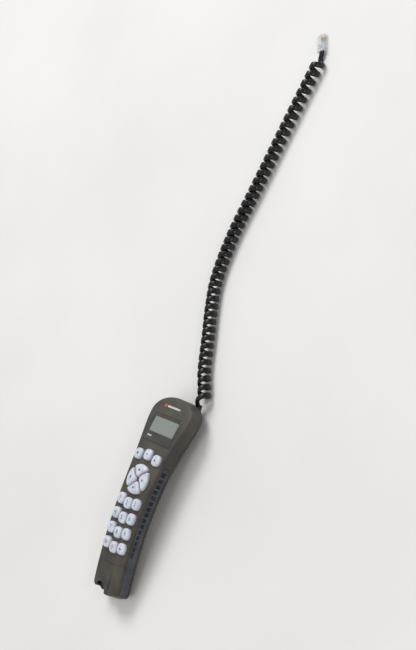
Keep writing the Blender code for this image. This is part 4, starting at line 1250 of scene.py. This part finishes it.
def printedStripe(x, y, halfX, halfY, name, material, heightAt):  # a round-ended bar that follows the surface
    rings = []
    for step in range(33):
        turn = math.pi * step / 32
        along = x - halfX * math.cos(turn)
        fromEnd = min(halfX - abs(along - x), halfY)
        half = max(math.sqrt(max(halfY ** 2 - (halfY - fromEnd) ** 2, 0.0)), 0.00006)
        ring = []
        for across, side in ((-half, -2), (half, -2), (half, 1), (-half, 1)):
            ring.append((along, y + across, heightAt(along, y + across) + side * printing["lift"]))
        rings.append(ring)
    made = loft(rings, name, [material], 60)
    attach(made, "handset")


def makePrinting():
    heightAt = surfaceUnder(frontCase.data)
    x, y, radius = printing["dot"]
    printedStripe(x, y, radius, radius, "faceDot", orangeInkFinish, heightAt)
    printedStripe(*printing["stripe"], "faceStripe", paleInkFinish, heightAt)
    printedStripe(*printing["mark"], "panelMark", paleInkFinish, surfaceUnder(windowPanel.data))


makePrinting()

# clear modular plug with gold blades, and its latch
plug = {
    "halfWidth": 0.0048, "height": 0.0066, "length": 0.0215, "floor": 0.0001, "softness": 0.00035,
    "blades": 6, "bladePitch": 0.00102, "blade": (0.00036, 0.0040, 0.0026),
    "slotHalf": 0.0003, "slotLength": 0.0046, "slotTop": 0.0018,
    "cableWay": ((-0.0032, -0.001, 0.0017), (0.0032, 0.0090, 0.0056)),
    "latchHalf": 0.0016, "latchThick": 0.0009, "latchLength": 0.0145, "latchAngle": math.radians(11), "hinge": 0.0199,
}
plugPlace = Matrix.Translation((*cord["plugRear"], 0.0)) @ Matrix.Rotation(cord["plugHeading"], 4, "Z")


def softened(made, width, segments=2):  # rounded edges by a bevel, kept as plain mesh
    bevel = made.modifiers.new("edges", "BEVEL")
    bevel.width = width
    bevel.segments = segments
    bevel.limit_method = "ANGLE"
    return plainMesh(made, made.name, list(made.data.materials), 40)


def makePlug():
    low, length, height = plug["floor"], plug["length"], plug["height"]
    outline = (
        (0.0, 0.0004), (length, 0.0), (length, height - 0.0012), (length - 0.0012, height - 0.0006),
        (0.011, height - 0.0006), (0.0095, height), (0.0, height),
    )
    body = loft([[(x, y, low + z) for y, z in outline] for x in (-plug["halfWidth"], plug["halfWidth"])], "plugBlank")
    cutters, places = [], []
    for i in range(plug["blades"]):
        x = (i - (plug["blades"] - 1) / 2) * plug["bladePitch"]
        slotLow = (x - plug["slotHalf"], length - plug["slotLength"], -0.001)
        cutters.append(block(slotLow, (x + plug["slotHalf"], length + 0.001, plug["slotTop"]), f"slot{i}"))
        places.append((plugPlace @ Vector((x, length - 0.0024, 0.0019)), (0, 0, cord["plugHeading"]), (1, 1, 1)))
    cutters.append(block(*plug["cableWay"], "cableWay"))
    body = softened(body, plug["softness"], 3)
    body = carve(body, cutters, "plugShell", [plugFinish], 30)
    body.data.transform(plugPlace)
    blade = roundedBox(plug["blade"], 0.0001, "bladeShape", 2)
    blades = placeCopies(blade, places, "plugBlades", goldFinish)
    latchRings = []
    thick = plug["latchThick"]
    for y, wider in ((0.0012, 1.0), (-0.006, 1.0), (-0.0075, 1.9), (-plug["latchLength"], 1.6)):
        halfX = plug["latchHalf"] * wider
        latchRings.append([(-halfX, y, -thick), (halfX, y, -thick), (halfX, y, 0.0), (-halfX, y, 0.0)])
    latch = loft(latchRings, "plugTab", [plugFinish], 30)
    hingeHeight = low + height - 0.0006 + case["gap"] + thick
    latch.data.transform(
        plugPlace @ Matrix.Translation((0.0, plug["hinge"], hingeHeight)) @ Matrix.Rotation(-plug["latchAngle"], 4, "X")
    )
    latch = softened(latch, 0.00015)
    for piece, bodyName, nodes, slotName in (
        (body, "handset", ["plug_body"], "plug"), (blades, "handset", [], "metal"),
        (latch, "plug_latch", ["plug_latch"], "plug"),
    ):
        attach(piece, bodyName)
        if nodes:
            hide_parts(*nodes)
    return body, blades, latch


plugPieces = makePlug()
print("plug made")

# what stays as the frame has it, in its own finish
innerFinishes = (
    (blackFinish, ("lcd_bezel", "processor_chip", "driver_chip", "memory_chip", "data_port")),
    (boardFinish, ("lcd_module", "circuit_board")), (keyFinish, ("keypad_mat",)), (steelFinish, ("clock_crystal",)),
)
for finish, nodes in innerFinishes:
    for node in nodes:
        frame["nodes"][node].data.materials.clear()
        frame["nodes"][node].data.materials.append(finish)
print("inner pieces finished")


room = {
    "floorHalf": 4.0, "floorDrop": 0.0002, "world": 0.42,
    "lamps": (
        ("mainLamp", (-1.10, 2.10, 2.50), 1.60, 68.0), ("sideLamp", (1.90, 0.50, 1.15), 0.22, 4.5),
        ("fillLamp", (0.20, -1.70, 2.60), 1.60, 15.0),
    ),
    "aim": (0.0, 0.12, 0.02),
}


def addRoom():
    bm = bmesh.new()
    bmesh.ops.create_grid(bm, x_segments=1, y_segments=1, size=room["floorHalf"])
    bmesh.ops.translate(bm, vec=(0, 0, -room["floorDrop"]), verts=bm.verts)
    floorFinish = texturedFinish("paleFloor", rgb(232, 231, 229), rgb(238, 237, 235), (0.55, 0.7), 300, 0.00002, 4)
    floor = finished(bm, "floor", [floorFinish])
    for name, place, size, power in room["lamps"]:
        lamp = bpy.data.objects.new(name, bpy.data.lights.new(name, "AREA"))
        lamp.data.size = size
        lamp.data.energy = power
        lamp.location = place
        lamp.rotation_euler = (Vector(room["aim"]) - Vector(place)).to_track_quat("-Z", "Y").to_euler()
        scene.collection.objects.link(lamp)
    scene.world = bpy.data.worlds.new("studio")
    scene.world.use_nodes = True
    sky = scene.world.node_tree.nodes["Background"]
    sky.inputs["Color"].default_value = (1, 1, 1, 1)
    sky.inputs["Strength"].default_value = room["world"]
    scene.view_settings.view_transform = "Standard"


addRoom()
